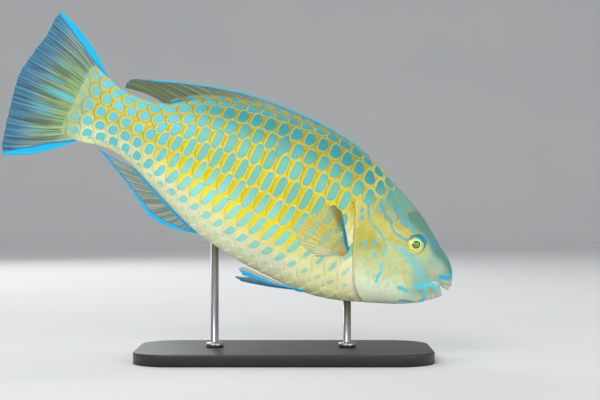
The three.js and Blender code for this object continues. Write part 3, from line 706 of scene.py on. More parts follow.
class Nodes:
    """One material, built by short calls."""

    def __init__(self, name):
        self.material = bpy.data.materials.new(name)
        self.material.use_nodes = True
        self.tree = self.material.node_tree
        self.shader = self.tree.nodes["Principled BSDF"]

    def link(self, value, socket):
        if isinstance(value, Signal):
            self.tree.links.new(value.socket, socket)
        else:
            socket.default_value = value

    def add(self, kind, output, inputs=None, **settings):
        """One new node with its settings and inputs, as the signal of one output."""
        node = self.tree.nodes.new("ShaderNode" + kind)
        for name, value in settings.items():
            setattr(node, name, value)
        for name, value in (inputs or {}).items():
            self.link(value, node.inputs[name])
        return Signal(self, node.outputs[output])

    def math(self, operation, *values, clamp=False):
        return self.add("Math", 0, dict(enumerate(values)), operation=operation, use_clamp=clamp)

    def mix(self, share, first, second):
        """From the first colour to the second by a share."""
        node = self.add("Mix", 0, {"Factor": share}, data_type="RGBA").socket.node
        sockets = [socket for socket in node.inputs if socket.type == "RGBA"]
        for socket, colour in zip(sockets, (first, second)):
            self.link(tone(colour), socket)
        return Signal(self, next(socket for socket in node.outputs if socket.type == "RGBA"))

    def paint(self, ground, *layers):
        """Colours laid over a ground one after the other, each by its share."""
        for share, colour in layers:
            ground = self.mix(share, ground, colour)
        return ground

    def times(self, colour, shade):
        """A colour made lighter or darker by a plain factor."""
        return self.add("VectorMath", 0, {0: colour, "Scale": shade}, operation="SCALE")

    def fan(self, ray, t, per_ray, along):
        """A vector for streaks that run along the rays of a fin."""
        return self.add("CombineXYZ", 0, {"X": ray * per_ray, "Y": t * along})

    def value(self, name):
        return self.add("Attribute", "Fac", attribute_name=name)

    def parts(self, name):
        vector = self.add("Attribute", "Vector", attribute_name=name)
        split = self.add("SeparateXYZ", 0, {0: vector}).socket.node
        return [Signal(self, socket) for socket in split.outputs]

    def place(self):
        return self.add("TexCoord", "Object")

    def stretched(self, vector, scale):
        return self.add("Mapping", "Vector", {"Vector": vector, "Scale": scale})

    def noise(self, scale, detail=2.0, vector=None):
        inputs = {"Vector": vector or self.place(), "Scale": scale, "Detail": detail}
        return self.add("TexNoise", "Fac", inputs)

    def cells(self, scale, vector):
        inputs = {"Vector": vector, "Scale": scale}
        return self.add("TexVoronoi", "Distance", inputs, feature="DISTANCE_TO_EDGE")

    def bump(self, height, distance, strength):
        normal = self.add("Bump", "Normal", {"Distance": distance, "Strength": strength, "Height": height})
        self.link(normal, self.shader.inputs["Normal"])

    def finish(self, colour, roughness, coat=0.0, coat_roughness=0.1, specular=0.5, metallic=0.0):
        looks = {
            "Base Color": tone(colour), "Roughness": roughness, "Coat Weight": coat,
            "Coat Roughness": coat_roughness, "Specular IOR Level": specular, "Metallic": metallic,
        }
        for name, value in looks.items():
            self.link(value, self.shader.inputs[name])
        return self.material


def tone(colour):
    """A signal as it is, or a colour given as 0 to 255 screen values as linear light."""
    if isinstance(colour, Signal):
        return colour
    linear = [((c / 255 + 0.055) / 1.055) ** 2.4 if c > 10 else c / 255 / 12.92 for c in colour]
    return (*linear, 1.0)


# Head and skin
def line_distance(x, z, line):
    """How far each place lies outside a line of varying width, negative within it."""
    best = np.full(np.shape(x), FAR)
    for (x0, z0, w0), (x1, z1, w1) in zip(line[:-1], line[1:]):
        dx, dz = x1 - x0, z1 - z0
        t = np.clip(((x - x0) * dx + (z - z0) * dz) / (dx * dx + dz * dz), 0, 1)
        reach = np.hypot(x - x0 - t * dx, z - z0 - t * dz) - (w0 + t * (w1 - w0)) / 2
        best = np.minimum(best, reach)
    return best


def dot_distance(x, z, dots):
    """How far each place lies outside a group of oval dots, negative within them."""
    best = np.full(np.shape(x), FAR)
    for cx, cz, rx, rz in dots:
        best = np.minimum(best, (np.hypot((x - cx) / rx, (z - cz) / rz) - 1) * min(rx, rz))
    return best


def blue_distance(x, z):
    """The distance to the head's blue lines and dots, negative inside them."""
    lines = [line_distance(x, z, line) for line in HEAD_LINES]
    return np.minimum.reduce([*lines, dot_distance(x, z, HEAD_DOTS)])


def patch_share(x, z, patches):
    """The strength of soft oval patches at places in side view, from 0 to 1."""
    total = np.zeros(np.shape(x))
    for strength, cx, cz, rx, rz, turn in patches:
        c, s = math.cos(math.radians(turn)), math.sin(math.radians(turn))
        along = ((x - cx) * c + (z - cz) * s) / rx
        up = (-(x - cx) * s + (z - cz) * c) / rz
        total += strength * np.exp(-(along ** 2 + up ** 2))
    return np.clip(total, 0, 1)


def lip_height(x):
    """The height of the upper lip's lower edge."""
    return MOUTH_CORNER[1] + LIP_SLOPE * (x - MOUTH_CORNER[0])


def gill_relief(x, z):
    """The gill cover's raised rear edge, with the soft membrane behind it."""
    edge, rise = gill_edge(x, z)
    ahead = x - edge
    side = smoothstep(-88, -70, rise) * (1 - smoothstep(GILL_TOP_DEGREES, GILL_TOP_DEGREES + 16, rise))
    flap = FLAP_PROUD * smoothstep(-0.6, 0.5, ahead) * np.exp(-np.maximum(ahead, 0) / 10)
    membrane = 0.45 * bump(ahead, -2.4, 1.0) * smoothstep(0, -30, rise)
    return side * (flap + membrane - 0.35 * bump(ahead, -0.9, 0.6))


def cheek_relief(x, z):
    """The low step of the cheek's plate."""
    ahead = x - (CHEEK_STEP_X + CHEEK_STEP_BEND * (z - CHEEK_STEP_Z) ** 2)
    span = smoothstep(-42, -34, z) * (1 - smoothstep(2, 12, z))
    return span * 0.45 * smoothstep(-1.2, 0.6, ahead) * np.exp(-np.maximum(ahead, 0) / 8)


def eye_relief(x, z):
    """The raised rim round the eye, a faint outer ring and the hollow that holds the eye."""
    around = np.hypot(x - ORBIT_X, z - ORBIT_Z)
    rim = 0.9 * bump(around, ORBIT_RADIUS + 0.5, 1.0) + 0.25 * bump(around, ORBIT_RADIUS + 3.6, 0.9)
    return rim - ORBIT_DEPTH * (1 - smoothstep(ORBIT_RADIUS - 1.2, ORBIT_RADIUS - 0.2, around))


def nostril_relief(x, z):
    """Two small holes with raised rims."""
    holes = [(np.hypot(x - cx, z - cz), radius) for cx, cz, radius in NOSTRILS]
    return sum(0.35 * bump(far, radius * 1.6, 0.5) - 1.4 * bump(far, 0, radius) for far, radius in holes)


def lip_relief(x, z):
    """Both lips, each with a groove behind it, and the crease at the corner of the mouth."""
    corner_x, corner_z = MOUTH_CORNER
    above = z - lip_height(x)
    upper = 0.9 * bump(above, 1.5, 1.6) - 0.35 * bump(above, 4.6, 0.8)
    upper *= smoothstep(corner_x - 5, corner_x, x)
    span = smoothstep(-24, -20, z) * (1 - smoothstep(corner_z - 3, corner_z + 1, z))
    lower = span * (0.8 * bump(x, 199.4, 1.7) - 0.35 * bump(x, 195.6, 0.9))
    return upper + lower - 0.8 * bump(np.maximum(line_distance(x, z, MOUTH_CREASE), 0), 0, 0.7)


def nape_end(height):
    """How far forward the scales reach at a share of the body's height, above the gill."""
    return NAPE_X + NAPE_REACH * smoothstep(0.62, 0.80, height)


def bed_share(x, z):
    """1 where the skin lies under scales, 0 on the bare head."""
    edge, rise = gill_edge(x, z)
    above = 1 - smoothstep(0, 14, x - nape_end(height_share(x, z)))
    below = 1 - smoothstep(-1.6, -0.6, x - edge)
    return np.where(rise < NAPE_FROM_DEGREES, below, above)


def skin_piece():
    """One skin over head, torso and tail stalk."""
    nose = SNOUT_X - (SNOUT_X - NOSE_FROM) * np.linspace(1, 0.012, 34) ** 1.7
    body, head = np.arange(SKIN_END, HEAD_FROM, BODY_STEP), np.arange(HEAD_FROM, NOSE_FROM, HEAD_STEP)
    grid_x, grid_g, side = around_body(np.concatenate([body, head, nose]), HALF_RING)
    points = skin_map.point(grid_x, grid_g)
    x, z = points[..., 0].copy(), points[..., 2].copy()
    relief = gill_relief(x, z) + cheek_relief(x, z) + eye_relief(x, z) + nostril_relief(x, z)
    relief += lip_relief(x, z) - SCALE_BED * bed_share(x, z)
    points = points + skin_map.outward(grid_x, grid_g) * relief[..., None]
    points[..., 1] *= side
    piece = new_object("fish_skin", *tube(points, (SKIN_END, 0, 0), (SNOUT_X, 0, SNOUT_Z)))
    flat_x = np.append(x, [SKIN_END, SNOUT_X])
    flat_z = np.append(z, [0, SNOUT_Z])
    paint_head(piece, flat_x, flat_z)
    columns = len(side)
    turn = np.append(np.broadcast_to(np.arange(columns) / columns, x.shape), [0, 0])
    set_wrapped_uv(piece, (flat_x - SKIN_END) / (SNOUT_X - SKIN_END), turn)
    return piece


def paint_head(piece, x, z):
    """Fields that the skin's material turns into colours."""
    edge, rise = gill_edge(x, z)
    over_gill = np.where(x > NAPE_X, 9.0, -9.0)
    set_fields(
        piece,
        blue_line=blue_distance(x, z),
        lip_blue=line_distance(x, z, LIP_LINE),
        under_eye=line_distance(x, z, UNDER_EYE_LINE),
        eye_cap=np.hypot(x - EYE_CAP_X, z - EYE_CAP_Z) - EYE_CAP_RADIUS,
        gill=np.where(rise < GILL_TOP_DEGREES + 3, x - edge, over_gill),
        place=joined(x / PLACE_UNIT, z / PLACE_UNIT, height_share(x, z)),
        **{name: patch_share(x, z, patches) for name, patches in HEAD_PATCHES.items()},
    )


def ochre_blotch(nodes):
    return nodes.value("ochre") * nodes.noise(120, 2).step(0.15, 0.55)


def tail_colour(nodes):
    """The mottled ground where the tail stalk runs out into the tail fin."""
    return nodes.mix(nodes.noise(150, 3).step(0.42, 0.62), *TAIL_BASE)


def nape_colour(nodes, height):
    """The ground behind the eye: ochre low down, grey teal towards the back."""
    drift = (nodes.noise(70, 2) - 0.5) * 0.16
    ground = nodes.mix((height + drift).step(0.72, 0.90), *NAPE_LOW_AND_HIGH)
    return nodes.mix(ochre_blotch(nodes), ground, OCHRE)


def net_colour(nodes, along, height):
    """The yellow ground between the blue spots, from back to belly and on to the tail."""
    stalk = nodes.mix(height.step(0.15, 0.5), *STALK_LOW_AND_HIGH)
    nape = nodes.mix(along.step(0.95, 1.25), NAPE_REAR, nape_colour(nodes, height))
    front = nodes.mix(height.step(0.45, 0.7), CHEST, nape)
    low_front = along.step(0.4, 0.8) * height.step(0.44, 0.30)
    return nodes.paint(
        nodes.mix(height.step(0.97, 0.66), *NET_BACK_AND_FLANK),
        (height.step(0.44, 0.26), NET_LOW),
        (height.step(0.28, 0.10), NET_BELLY),
        (along.step(-0.85, -1.45), stalk),
        (along.step(-1.88, -2.06), tail_colour(nodes)),
        (along.step(0.72, 1.0).at_least(low_front), front),
    )


def head_ground(nodes, along, height, drift):
    """The head's ground: pale chin, flecked cheek, grey snout, ochre nape and teal crown."""
    up = height + (drift - 0.5) * 0.14
    mottle = nodes.noise(170, 3, nodes.stretched(nodes.place(), (1, 1, 0.4)))
    cheek = height.step(0.12, 0.3) * along.step(1.84, 1.66)
    return nodes.paint(
        nodes.mix(height.step(0.16, 0.42), CHIN, CHEEK),
        (along.step(1.62, 1.86), SNOUT),
        (height.step(0.26, 0.02), CHIN),
        (mottle.step(0.5, 0.66) * (cheek * 0.45), GOLD_FLECK),
        (mottle.step(0.44, 0.32) * (cheek * 0.5), GREEN_FLECK),
        (up.step(0.56, 0.72) * along.step(1.66, 1.5), nape_colour(nodes, height)),
        (up.step(0.76, 0.9), CROWN),
    )


def head_markings(nodes, colour, height):
    """The head's patches, its blue lines and lip, and the blue over the eye."""
    wobble = (nodes.noise(170, 3) - 0.5) * 3.2
    under_eye = (nodes.value("under_eye") + wobble).step(4.4, -4.6)
    line = (nodes.value("blue_line") + wobble).step(0.7, -0.9)
    eye_cap = (nodes.value("eye_cap") + wobble * 0.3).step(0.5, -0.5)
    return nodes.paint(
        colour,
        (ochre_blotch(nodes), OCHRE),
        (nodes.value("smudge") * 0.55, SMUDGE),
        (under_eye * 0.8, UNDER_EYE),
        (nodes.value("teal"), BROW),
        (nodes.value("tan") * 0.85, MUZZLE_TAN),
        (nodes.value("pale") * 0.8, MUZZLE_PALE),
        (line * 0.86, nodes.mix(height.step(0.35, 0.75), *LINES_LOW_AND_HIGH)),
        ((nodes.value("lip_blue") + wobble).step(1.0, -1.4), LIP_BLUE),
        (eye_cap * 0.85, EYE_CAP),
    )


def skin_material():
    nodes = Nodes("parrotfish_skin")
    along, _, height = nodes.parts("place")
    grain, drift = nodes.noise(220, 3), nodes.noise(45, 2)
    gill = nodes.value("gill")
    behind = gill.step(0.0, -0.6)
    colour = head_markings(nodes, head_ground(nodes, along, height, drift), height)
    colour = nodes.paint(
        colour,
        (behind, net_colour(nodes, along, height)),
        (gill.step(-6.0, -4.6) * behind * height.step(0.5, 0.3), GILL_SEAM),
        (abs(gill + 0.6).step(0.8, 0.2) * 0.6, GILL_FOLD),
        (gill.step(2.6, 1.2) * gill.step(0.0, 0.8) * 0.6, GILL_LOBE),
    )
    nodes.bump(grain * 0.5 + drift * 0.8, 0.0006, 0.5)
    colour = nodes.times(colour, 0.86 + grain * 0.28)
    return nodes.finish(colour, 0.32 + grain * 0.18, coat=0.25, coat_roughness=0.2)


def mouth_material():
    nodes = Nodes("mouth_lining")
    return nodes.finish(nodes.mix(nodes.noise(90, 2), *MOUTH_LINING), 0.5)


def cut_gape(skin):
    """Opens the mouth: a wedge between the lips goes out of the skin."""
    wedge = prism("mouth_wedge", GAPE)
    wedge.data.materials.append(mouth_material())
    boolean(skin, wedge, "DIFFERENCE")


# Scales
def on_stalk(x):
    """1 on the tail stalk, 0 on the body before it."""
    return smoothstep(STALK_FROM, STALK_TO, x)


def row_height(row, x):
    """A row's share of the body's height at x."""
    shoulder, waist, stalk = ROWS[row][:3]
    share = np.interp(x, ROW_TURNS, (stalk, waist, shoulder))
    return share - ROW_DROOP * smoothstep(40, 100, x) * math.sin(math.pi * share)


def row_share(row, x):
    """A row's share of the girth at x, with the belly and back beyond the last rows."""
    if row < 0:
        return 1.0
    return skin_map.share_at_height(x, row_height(row, x)) if row < len(ROWS) else 0.0


def is_bare(x, share):
    """Whether a scale's place lies on the bare head."""
    back, belly, _, _ = section(x)
    edge, rise = gill_edge(x, belly + (back - belly) * share)
    return x > (edge - 1 if rise < NAPE_FROM_DEGREES else nape_end(share))


def scale_centres(rows):
    """Every scale of some rows: row, x, share of the girth and distance to the rows beside it."""
    centres = []
    for row in rows:
        start, rear = ROWS[row][3:5]
        x = start + ROW_START_STEPS * SCALE_PITCH
        while x > rear:
            if not is_bare(x, row_height(row, x)):
                g, girth = row_share(row, x), skin_map.girth(x)
                gap = max((g - row_share(row + 1, x)) * girth, (row_share(row - 1, x) - g) * girth, 5.0)
                centres.append((row, x, g, gap))
            x -= SCALE_PITCH
    return centres


def plate_lift(row, x):
    """How far a scale's upper face stands over the plain body: least at its front and sides."""
    nape, tail_end = smoothstep(108, 140, x), smoothstep(-196, -214, x)
    low = smoothstep(0.24, 0.08, row_height(row, x))
    sink = 0.2 * nape + 0.1 * on_stalk(x) + 0.2 * tail_end + 0.05 * low + 0.3 * np.abs(PLATE_Q) ** 3
    rise = (PLATE_RISE - PLATE_RISE_LESS_LOW * low) * PLATE_P ** 1.1
    return rise - SCALE_BED + random.uniform(-LIFT_SPREAD, LIFT_SPREAD) - sink


def plate(row, x, g, gap):
    """A scale's stations, shares of the girth and places on the body, and its two faces."""
    rear = PLATE_REAR * (1 - 0.96 * np.abs(PLATE_Q) ** 1.45)
    px = x + PLATE_FRONT * (1 - PLATE_P) - rear * PLATE_P
    spread = gap * PLATE_SHARE / skin_map.girth(x) * (1 - 0.25 * (1 - PLATE_P) ** 2)
    pg = g + PLATE_Q * spread
    on_skin = np.clip(pg, 0, 1)
    point, normal = skin_map.point(px, on_skin), skin_map.outward(px, on_skin)
    lift = plate_lift(row, x)
    top = point + normal * (lift + PLATE_CROWN * (1 - PLATE_Q ** 2))[..., None]
    bottom = point + normal * (lift - PLATE_THICKNESS)[..., None]
    return px, pg, point, np.concatenate([top.reshape(-1, 3), bottom.reshape(-1, 3)])


def spot_half_height(row, x):
    """Half a spot's length along the girth, from its half height in side view."""
    back, belly, _, _ = section(x)
    height, share = back - belly, row_height(row, x)
    tall = ROWS[row][6] * min(1, height / DEEP_BODY)
    tall += (TAIL_SPOT[1] - tall) * on_stalk(x)
    low = skin_map.share_at_height(x, max(share - tall / height, 0))
    high = skin_map.share_at_height(x, min(share + tall / height, 1))
    return max((high - low) / 2 * skin_map.girth(x), 2.0)


def by_chance(spread):
    """A factor drawn about 1."""
    return random.uniform(1 - spread, 1 + spread)


def spot_cell(side, row, x, along, up):
    """A scale's places measured in its spot's half sizes, and one draw for the whole scale."""
    tail, (half_width, _, lean) = on_stalk(x), ROWS[row][5:]
    wide = (half_width + (TAIL_SPOT[0] - half_width) * tail) * by_chance(SPOT_WIDTH_SPREAD)
    tall = spot_half_height(row, x) * by_chance(SPOT_HEIGHT_SPREAD)
    if side < 0 and abs(x - ODD_SCALE_X) < SCALE_PITCH / 2 and row == ODD_SCALE_ROW:
        wide, tall = wide * ODD_SCALE_GROWTH[0], tall * ODD_SCALE_GROWTH[1]
    lean = math.tan(math.radians(lean)) * (1 - tail)
    across = along - lean * up + 0.25 * wide * (up / tall) ** 2 * (1 - tail)
    return joined(across / wide, up / tall, np.full_like(up, random.random()))


def one_scale(side, row, x, g, gap):
    """A scale's points and the fields that its colours are read from."""
    px, pg, point, both = plate(row, x, g, gap)
    both[:, 1] *= side
    cell = spot_cell(side, row, x, px - x, (pg - g) * skin_map.girth(x))
    z = point[..., 2]
    place = joined(px / PLACE_UNIT, z / PLACE_UNIT, height_share(px, z))
    ochre = patch_share(px, z, HEAD_PATCHES["ochre"])
    return {
        "points": both, "cell": on_both_faces(cell, 3), "place": on_both_faces(place, 3),
        "ochre": on_both_faces(ochre, 1), "blue_line": on_both_faces(blue_distance(px, z), 1),
    }


def scales_piece(name, side, rows):
    """The scales of one side in some rows, as closed thin plates that overlap to the rear."""
    scales = [one_scale(side, *centre) for centre in scale_centres(rows)]
    merged = {field: np.concatenate([scale[field] for scale in scales]) for field in scales[0]}
    number = np.arange(len(scales))[:, None]
    faces = plate_faces(*PLATE_P.shape) + number[:, None] * 2 * PLATE_P.size
    piece = new_object(name, merged.pop("points"), [faces.reshape(-1, 4)])
    u = (number % LAYOUT_COLUMNS + 0.06 + 0.88 * PLATE_P.reshape(-1)) / LAYOUT_COLUMNS
    line = number // LAYOUT_COLUMNS + 0.5 + 0.45 * PLATE_Q.reshape(-1)
    v = line / math.ceil(len(scales) / LAYOUT_COLUMNS)
    set_uv(piece, np.tile(joined(u, v), (1, 2, 1)).reshape(-1, 2))
    set_fields(piece, **merged)
    return piece


def spot_colour(nodes, along, height, reach):
    """The blue of the spots, from back to belly and from tail to nape, deeper at its edge."""
    blue = nodes.paint(
        nodes.mix(height.step(0.93, 0.66), *SPOT_BACK_AND_FLANK),
        (height.step(0.55, 0.28), SPOT_LOW),
        (along.step(-0.6, -1.4), SPOT_STALK),
        (along.step(0.9, 1.3), SPOT_NAPE),
    )
    return nodes.mix(reach.step(0.25, 0.9) * 0.2, blue, SPOT_EDGE)


def ringed_net(nodes, along, height, reach):
    """The ground with a light halo about each spot and a golden ring beyond it."""
    halo = nodes.mix(height.step(0.5, 0.8), *HALO_LOW_AND_HIGH)
    golden = nodes.mix(along.step(-0.8, -1.3), *RING_FLANK_AND_STALK)
    return nodes.paint(
        net_colour(nodes, along, height),
        (reach.step(2.0, 1.3) * along.step(1.2, 0.9) * 0.5, halo),
        (reach.step(2.0, 3.6) * height.step(0.5, 0.8) * 0.55, golden),
    )


def scale_material():
    """A blue spot on every scale over the yellow ground, fading to the belly and head."""
    nodes = Nodes("parrotfish_scales")
    a, b, draw = nodes.parts("cell")
    along, _, height = nodes.parts("place")
    reach = abs(a) ** SPOT_POWER + abs(b) ** SPOT_POWER + (nodes.noise(260, 2) - 0.5) * 0.5
    grain = nodes.noise(520, 3)
    low_nape = along.step(0.95, 1.2) * height.step(0.92, 0.8)
    chest = along.step(0.4, 0.75) * height.step(0.40, 0.26)
    fade = height.step(0.035, 0.12) * along.step(1.62, 1.1) * (1.0 - low_nape * 0.5) * (1.0 - chest * 0.2)
    blue = nodes.mix(chest, spot_colour(nodes, along, height, reach), SPOT_CHEST)
    line = nodes.value("blue_line").step(1.4, -0.4) * along.step(0.8, 0.95)
    colour = nodes.paint(
        ringed_net(nodes, along, height, reach),
        ((reach + chest * 0.85).step(1.3, 0.8) * fade, blue),
        (line * 0.7, NAPE_LINE),
        (along.step(-1.94, -2.14) * 0.75, tail_colour(nodes)),
    )
    colour = nodes.times(colour, 0.86 + draw * 0.10 + grain * 0.14)
    nodes.bump((reach * 14.0).sine() * 0.10 + grain, 0.00025, 0.5)
    return nodes.finish(colour, 0.34 + grain * 0.2, coat=0.1, coat_roughness=0.2, specular=0.3)


# Fins
def space_line(points):
    """A smooth line through points in space, read by the share of its length."""
    points = np.asarray(points, float)
    ends = np.concatenate([[2 * points[0] - points[1]], points, [2 * points[-1] - points[-2]]])
    t = np.linspace(0, 1, 60)[:, None]
    run = []
    for a, b, c, d in zip(ends[:-3], ends[1:-2], ends[2:-1], ends[3:]):
        k0, k1, k2 = (np.linalg.norm(q - p) ** 0.5 for p, q in ((a, b), (b, c), (c, d)))
        leave = ((b - a) / k0 - (c - a) / (k0 + k1) + (c - b) / k1) * k1
        arrive = ((c - b) / k1 - (d - b) / (k1 + k2) + (d - c) / k2) * k1
        square = -3 * b + 3 * c - 2 * leave - arrive
        cube = 2 * b - 2 * c + leave + arrive
        run.append(b + leave * t + square * t ** 2 + cube * t ** 3)
    curve = np.concatenate(run)
    along = np.concatenate([[0], np.cumsum(np.linalg.norm(np.diff(curve, axis=0), axis=1))])
    along /= along[-1]
    return lambda share: joined(*(np.interp(share, along, curve[:, i]) for i in range(3)))


def nearest(points, line):
    """The distance of every point to the nearest of a line's points."""
    best = np.full(points.shape[:-1], FAR)
    for place in line:
        best = np.minimum(best, np.linalg.norm(points - place, axis=-1))
    return best


def fin_middle(t, off, uneven, root, edge, bow, notch):
    """The fin's middle sheet, scalloped between its rays, and the length of each line in it."""
    length = np.linalg.norm(edge - root, axis=-1)
    reach = t * (1 - (notch * (2 * off) ** 2 + uneven * 0.5) / np.maximum(length, 5))
    middle = root * (1 - reach)[..., None] + edge * reach[..., None]
    return middle + bow * np.sin(np.pi * reach)[..., None], length


def fin_thickness(t, fork, spacing, length, root_half, stout):
    """Half the fin's thickness, with its jointed rays as ridges, and how far a place is on a ray."""
    width = stout * (RAY_WIDTH - RAY_WIDTH_LOSS * t)
    ridge = np.exp(-((fork * spacing / width) ** 2))
    wave = np.cos(2 * np.pi * length * t / RAY_JOINT_STEP) * smoothstep(0.15, 0.3, t)
    joints = 1 - RAY_JOINT_DEPTH + RAY_JOINT_DEPTH * wave
    half = FIN_SKIN_HALF + (RAY_HEIGHT - RAY_HEIGHT_LOSS * t) * ridge * joints
    fade = np.exp(-t * 7)
    half = half * (1 - fade) + root_half * fade * (0.8 + 0.2 * ridge)
    half *= 1 - 0.5 * smoothstep(0.97, 1.0, t)
    return half, np.exp(-((fork * spacing / (1.5 * width)) ** 2))


def fin_piece(
    name, root_at, edge_at, rays, root_half, per_ray, rows, notch, split, bow, stout=1.0,
    bow_way=(0, 0, 1), dots=(),
):
    """A fin: its rays fork on their way out and stand up as ridges on both faces."""
    columns = (rays - 1) * per_ray + 1
    k, t = np.meshgrid(np.linspace(0, 1, columns), np.linspace(0, 1, rows), indexing="ij")
    ray = k * (rays - 1)
    off = np.abs(ray - np.round(ray))
    uneven = random.uniform(0.0, 0.9, rays)[np.round(ray).astype(int)]
    fork = np.abs(off - 0.2 * smoothstep(split, 1.0, t))
    fork = np.abs(fork - 0.09 * smoothstep(split + 0.35, 1.05, t))
    bowed = (bow[0] + (bow[1] - bow[0]) * k)[..., None] * bow_way
    middle, length = fin_middle(t, off, uneven, root_at(k), edge_at(k), bowed, notch)
    across, along = np.gradient(middle, axis=0), np.gradient(middle, axis=1)
    along[:, 0] = along[:, 1]
    normal = np.cross(across, along)
    normal /= np.maximum(np.linalg.norm(normal, axis=-1, keepdims=True), 1e-9)
    spacing = np.linalg.norm(across, axis=-1) * per_ray
    half, on_ray = fin_thickness(t, fork, spacing, length, root_half, stout)
    faces = [(middle + way * half[..., None]).reshape(-1, 3) for way in (normal, -normal)]
    piece = new_object(name, np.concatenate(faces), [plate_faces(columns, rows)])
    across_share, along_share = 1 - 2 * LAYOUT_EDGE, 0.5 - 2 * LAYOUT_EDGE
    uv = joined(LAYOUT_EDGE + k * across_share, LAYOUT_EDGE + t * along_share).reshape(-1, 2)
    set_uv(piece, np.concatenate([uv, uv + (0, 0.5)]))
    samples = np.linspace(0, 1, 160)
    far = [nearest(middle, line) for line in (edge_at(samples), root_at(samples), middle[0])]
    set_fields(
        piece,
        fin=on_both_faces(joined(k, t, ray), 3),
        far=on_both_faces(np.stack(far, axis=-1), 3),
        place=on_both_faces(middle / PLACE_UNIT, 3),
        last_far=on_both_faces(nearest(middle, middle[-1]), 1),
        ridge=on_both_faces(on_ray, 1),
        spots=on_both_faces(dot_distance(middle[..., 0], middle[..., 2], dots), 1),
    )
    return piece


def midline_fin(name, ends, root_height, edge, **build):
    """A fin in the fish's middle plane, from the stations of its root's two ends."""
    def root_at(k):
        x = ends[0] + (ends[1] - ends[0]) * k
        return joined(x, 0 * x, root_height(x, k))

    return fin_piece(name, root_at, space_line([(x, 0, z) for x, z in edge]), **build)


def dorsal_piece():
    def root_height(x, _):
        return back_line(x) - FIN_SINK

    return midline_fin("dorsal_fin_dressed", DORSAL_ROOT, root_height, DORSAL_EDGE, **DORSAL_BUILD)


def anal_piece():
    def root_height(x, _):
        return belly_line(x) + FIN_SINK

    return midline_fin("anal_fin_dressed", ANAL_ROOT, root_height, ANAL_EDGE, **ANAL_BUILD)


def caudal_piece():
    def root_height(_, k):
        return CAUDAL_ROOT[0] + (CAUDAL_ROOT[1] - CAUDAL_ROOT[0]) * k

    ends = (TAIL_END, TAIL_END)
    return midline_fin(
        "caudal_fin_dressed", ends, root_height, CAUDAL_EDGE, **CAUDAL_BUILD, dots=TAIL_DOTS
    )


def flank_place(x, z, out):
    """A place standing out from the flank by a distance."""
    slope_x = side_width(x + 0.5, z) - side_width(x - 0.5, z)
    slope_z = side_width(x, z + 0.5) - side_width(x, z - 0.5)
    normal = np.array([-slope_x, 1.0, -slope_z])
    normal /= np.linalg.norm(normal)
    return np.array([x, float(side_width(x, z)), z]) + normal * out


def pectoral_piece(name, side):
    flare = LEFT_FLARE if side > 0 else 1
    root_points = [flank_place(x, z, 0.4) for x, z in PECTORAL_ROOT]
    base = root_points[1][1]
    root = space_line([point * (1, side, 1) for point in root_points])
    edge = space_line([(x, side * (base + out * flare), z) for x, z, out in PECTORAL_EDGE])
    return fin_piece(name, root, edge, bow_way=(0, side, 0), **PECTORAL_BUILD)


def underside(x, y):
    """The height of the belly at a distance from the midline."""
    _, belly, waist, half = section(x)
    share = (1 - min(1, abs(y) / half) ** SECTION_POWER) ** (1 / SECTION_POWER)
    return float(waist - (waist - belly) * share)


def pelvic_piece(name, side):
    root = space_line([(x, side * y, underside(x, y) - 0.2) for x, y in PELVIC_ROOT])
    edge = space_line([(x, side * y, z) for x, y, z in PELVIC_EDGES[side]])
    return fin_piece(name, root, edge, **PELVIC_BUILD)


def fin_finish(nodes, colour, alpha=None):
    """The last steps of every fin's look: fine grain and a damp sheen."""
    grain = nodes.noise(340, 3)
    nodes.bump(grain, 0.0002, 0.4)
    if alpha is not None:
        nodes.link(alpha, nodes.shader.inputs["Alpha"])
    colour = nodes.times(colour, 0.85 + grain * 0.28)
    return nodes.finish(colour, 0.38 + grain * 0.2, coat=0.08, coat_roughness=0.2, specular=0.3)


def dorsal_material():
    """Pleated skin between tan rays, a yellow sheath with blue dashes, and a blue rim."""
    nodes = Nodes("dorsal_fin")
    k, t, ray = nodes.parts("fin")
    edge, root, _ = nodes.parts("far")
    wobble = nodes.noise(160, 2) - 0.5
    skin = nodes.mix(k.step(0.25, 0.95), *DORSAL_SKIN)
    streaks = nodes.noise(1.0, 2, nodes.fan(ray, t, 4.2, 0.5))
    pleats = nodes.mix(streaks.step(0.36, 0.52), DORSAL_PLEAT, skin)
    pleats = nodes.mix(streaks.step(0.56, 0.68), pleats, nodes.mix(k.step(0.2, 0.8), *DORSAL_PALE))
    wave = (nodes.parts("place")[0] * DORSAL_DASH_PACE).sine()
    dash = (1.0 - wave + ((root - DASH_HEIGHT) / DASH_HALF) ** 2.0 + wobble).step(1.3, 0.7)
    dash = dash * k.step(0.10, 0.3)
    band = edge + wobble * 1.6
    colour = nodes.paint(
        nodes.mix(0.75, skin, pleats),
        (nodes.value("ridge"), nodes.mix(k.step(0.3, 0.9), *DORSAL_RAYS)),
        (root.step(6.8, 3.4) * k.step(0.98, 0.8) * 0.8, DORSAL_SHEATH),
        (dash * 0.85, DORSAL_DASH),
        (band.step(4.4, 2.4) * 0.45, DORSAL_SHADE),
        (band.step(1.9, 1.1) * k.step(0.93, 0.86), AZURE),
    )
    return fin_finish(nodes, colour)


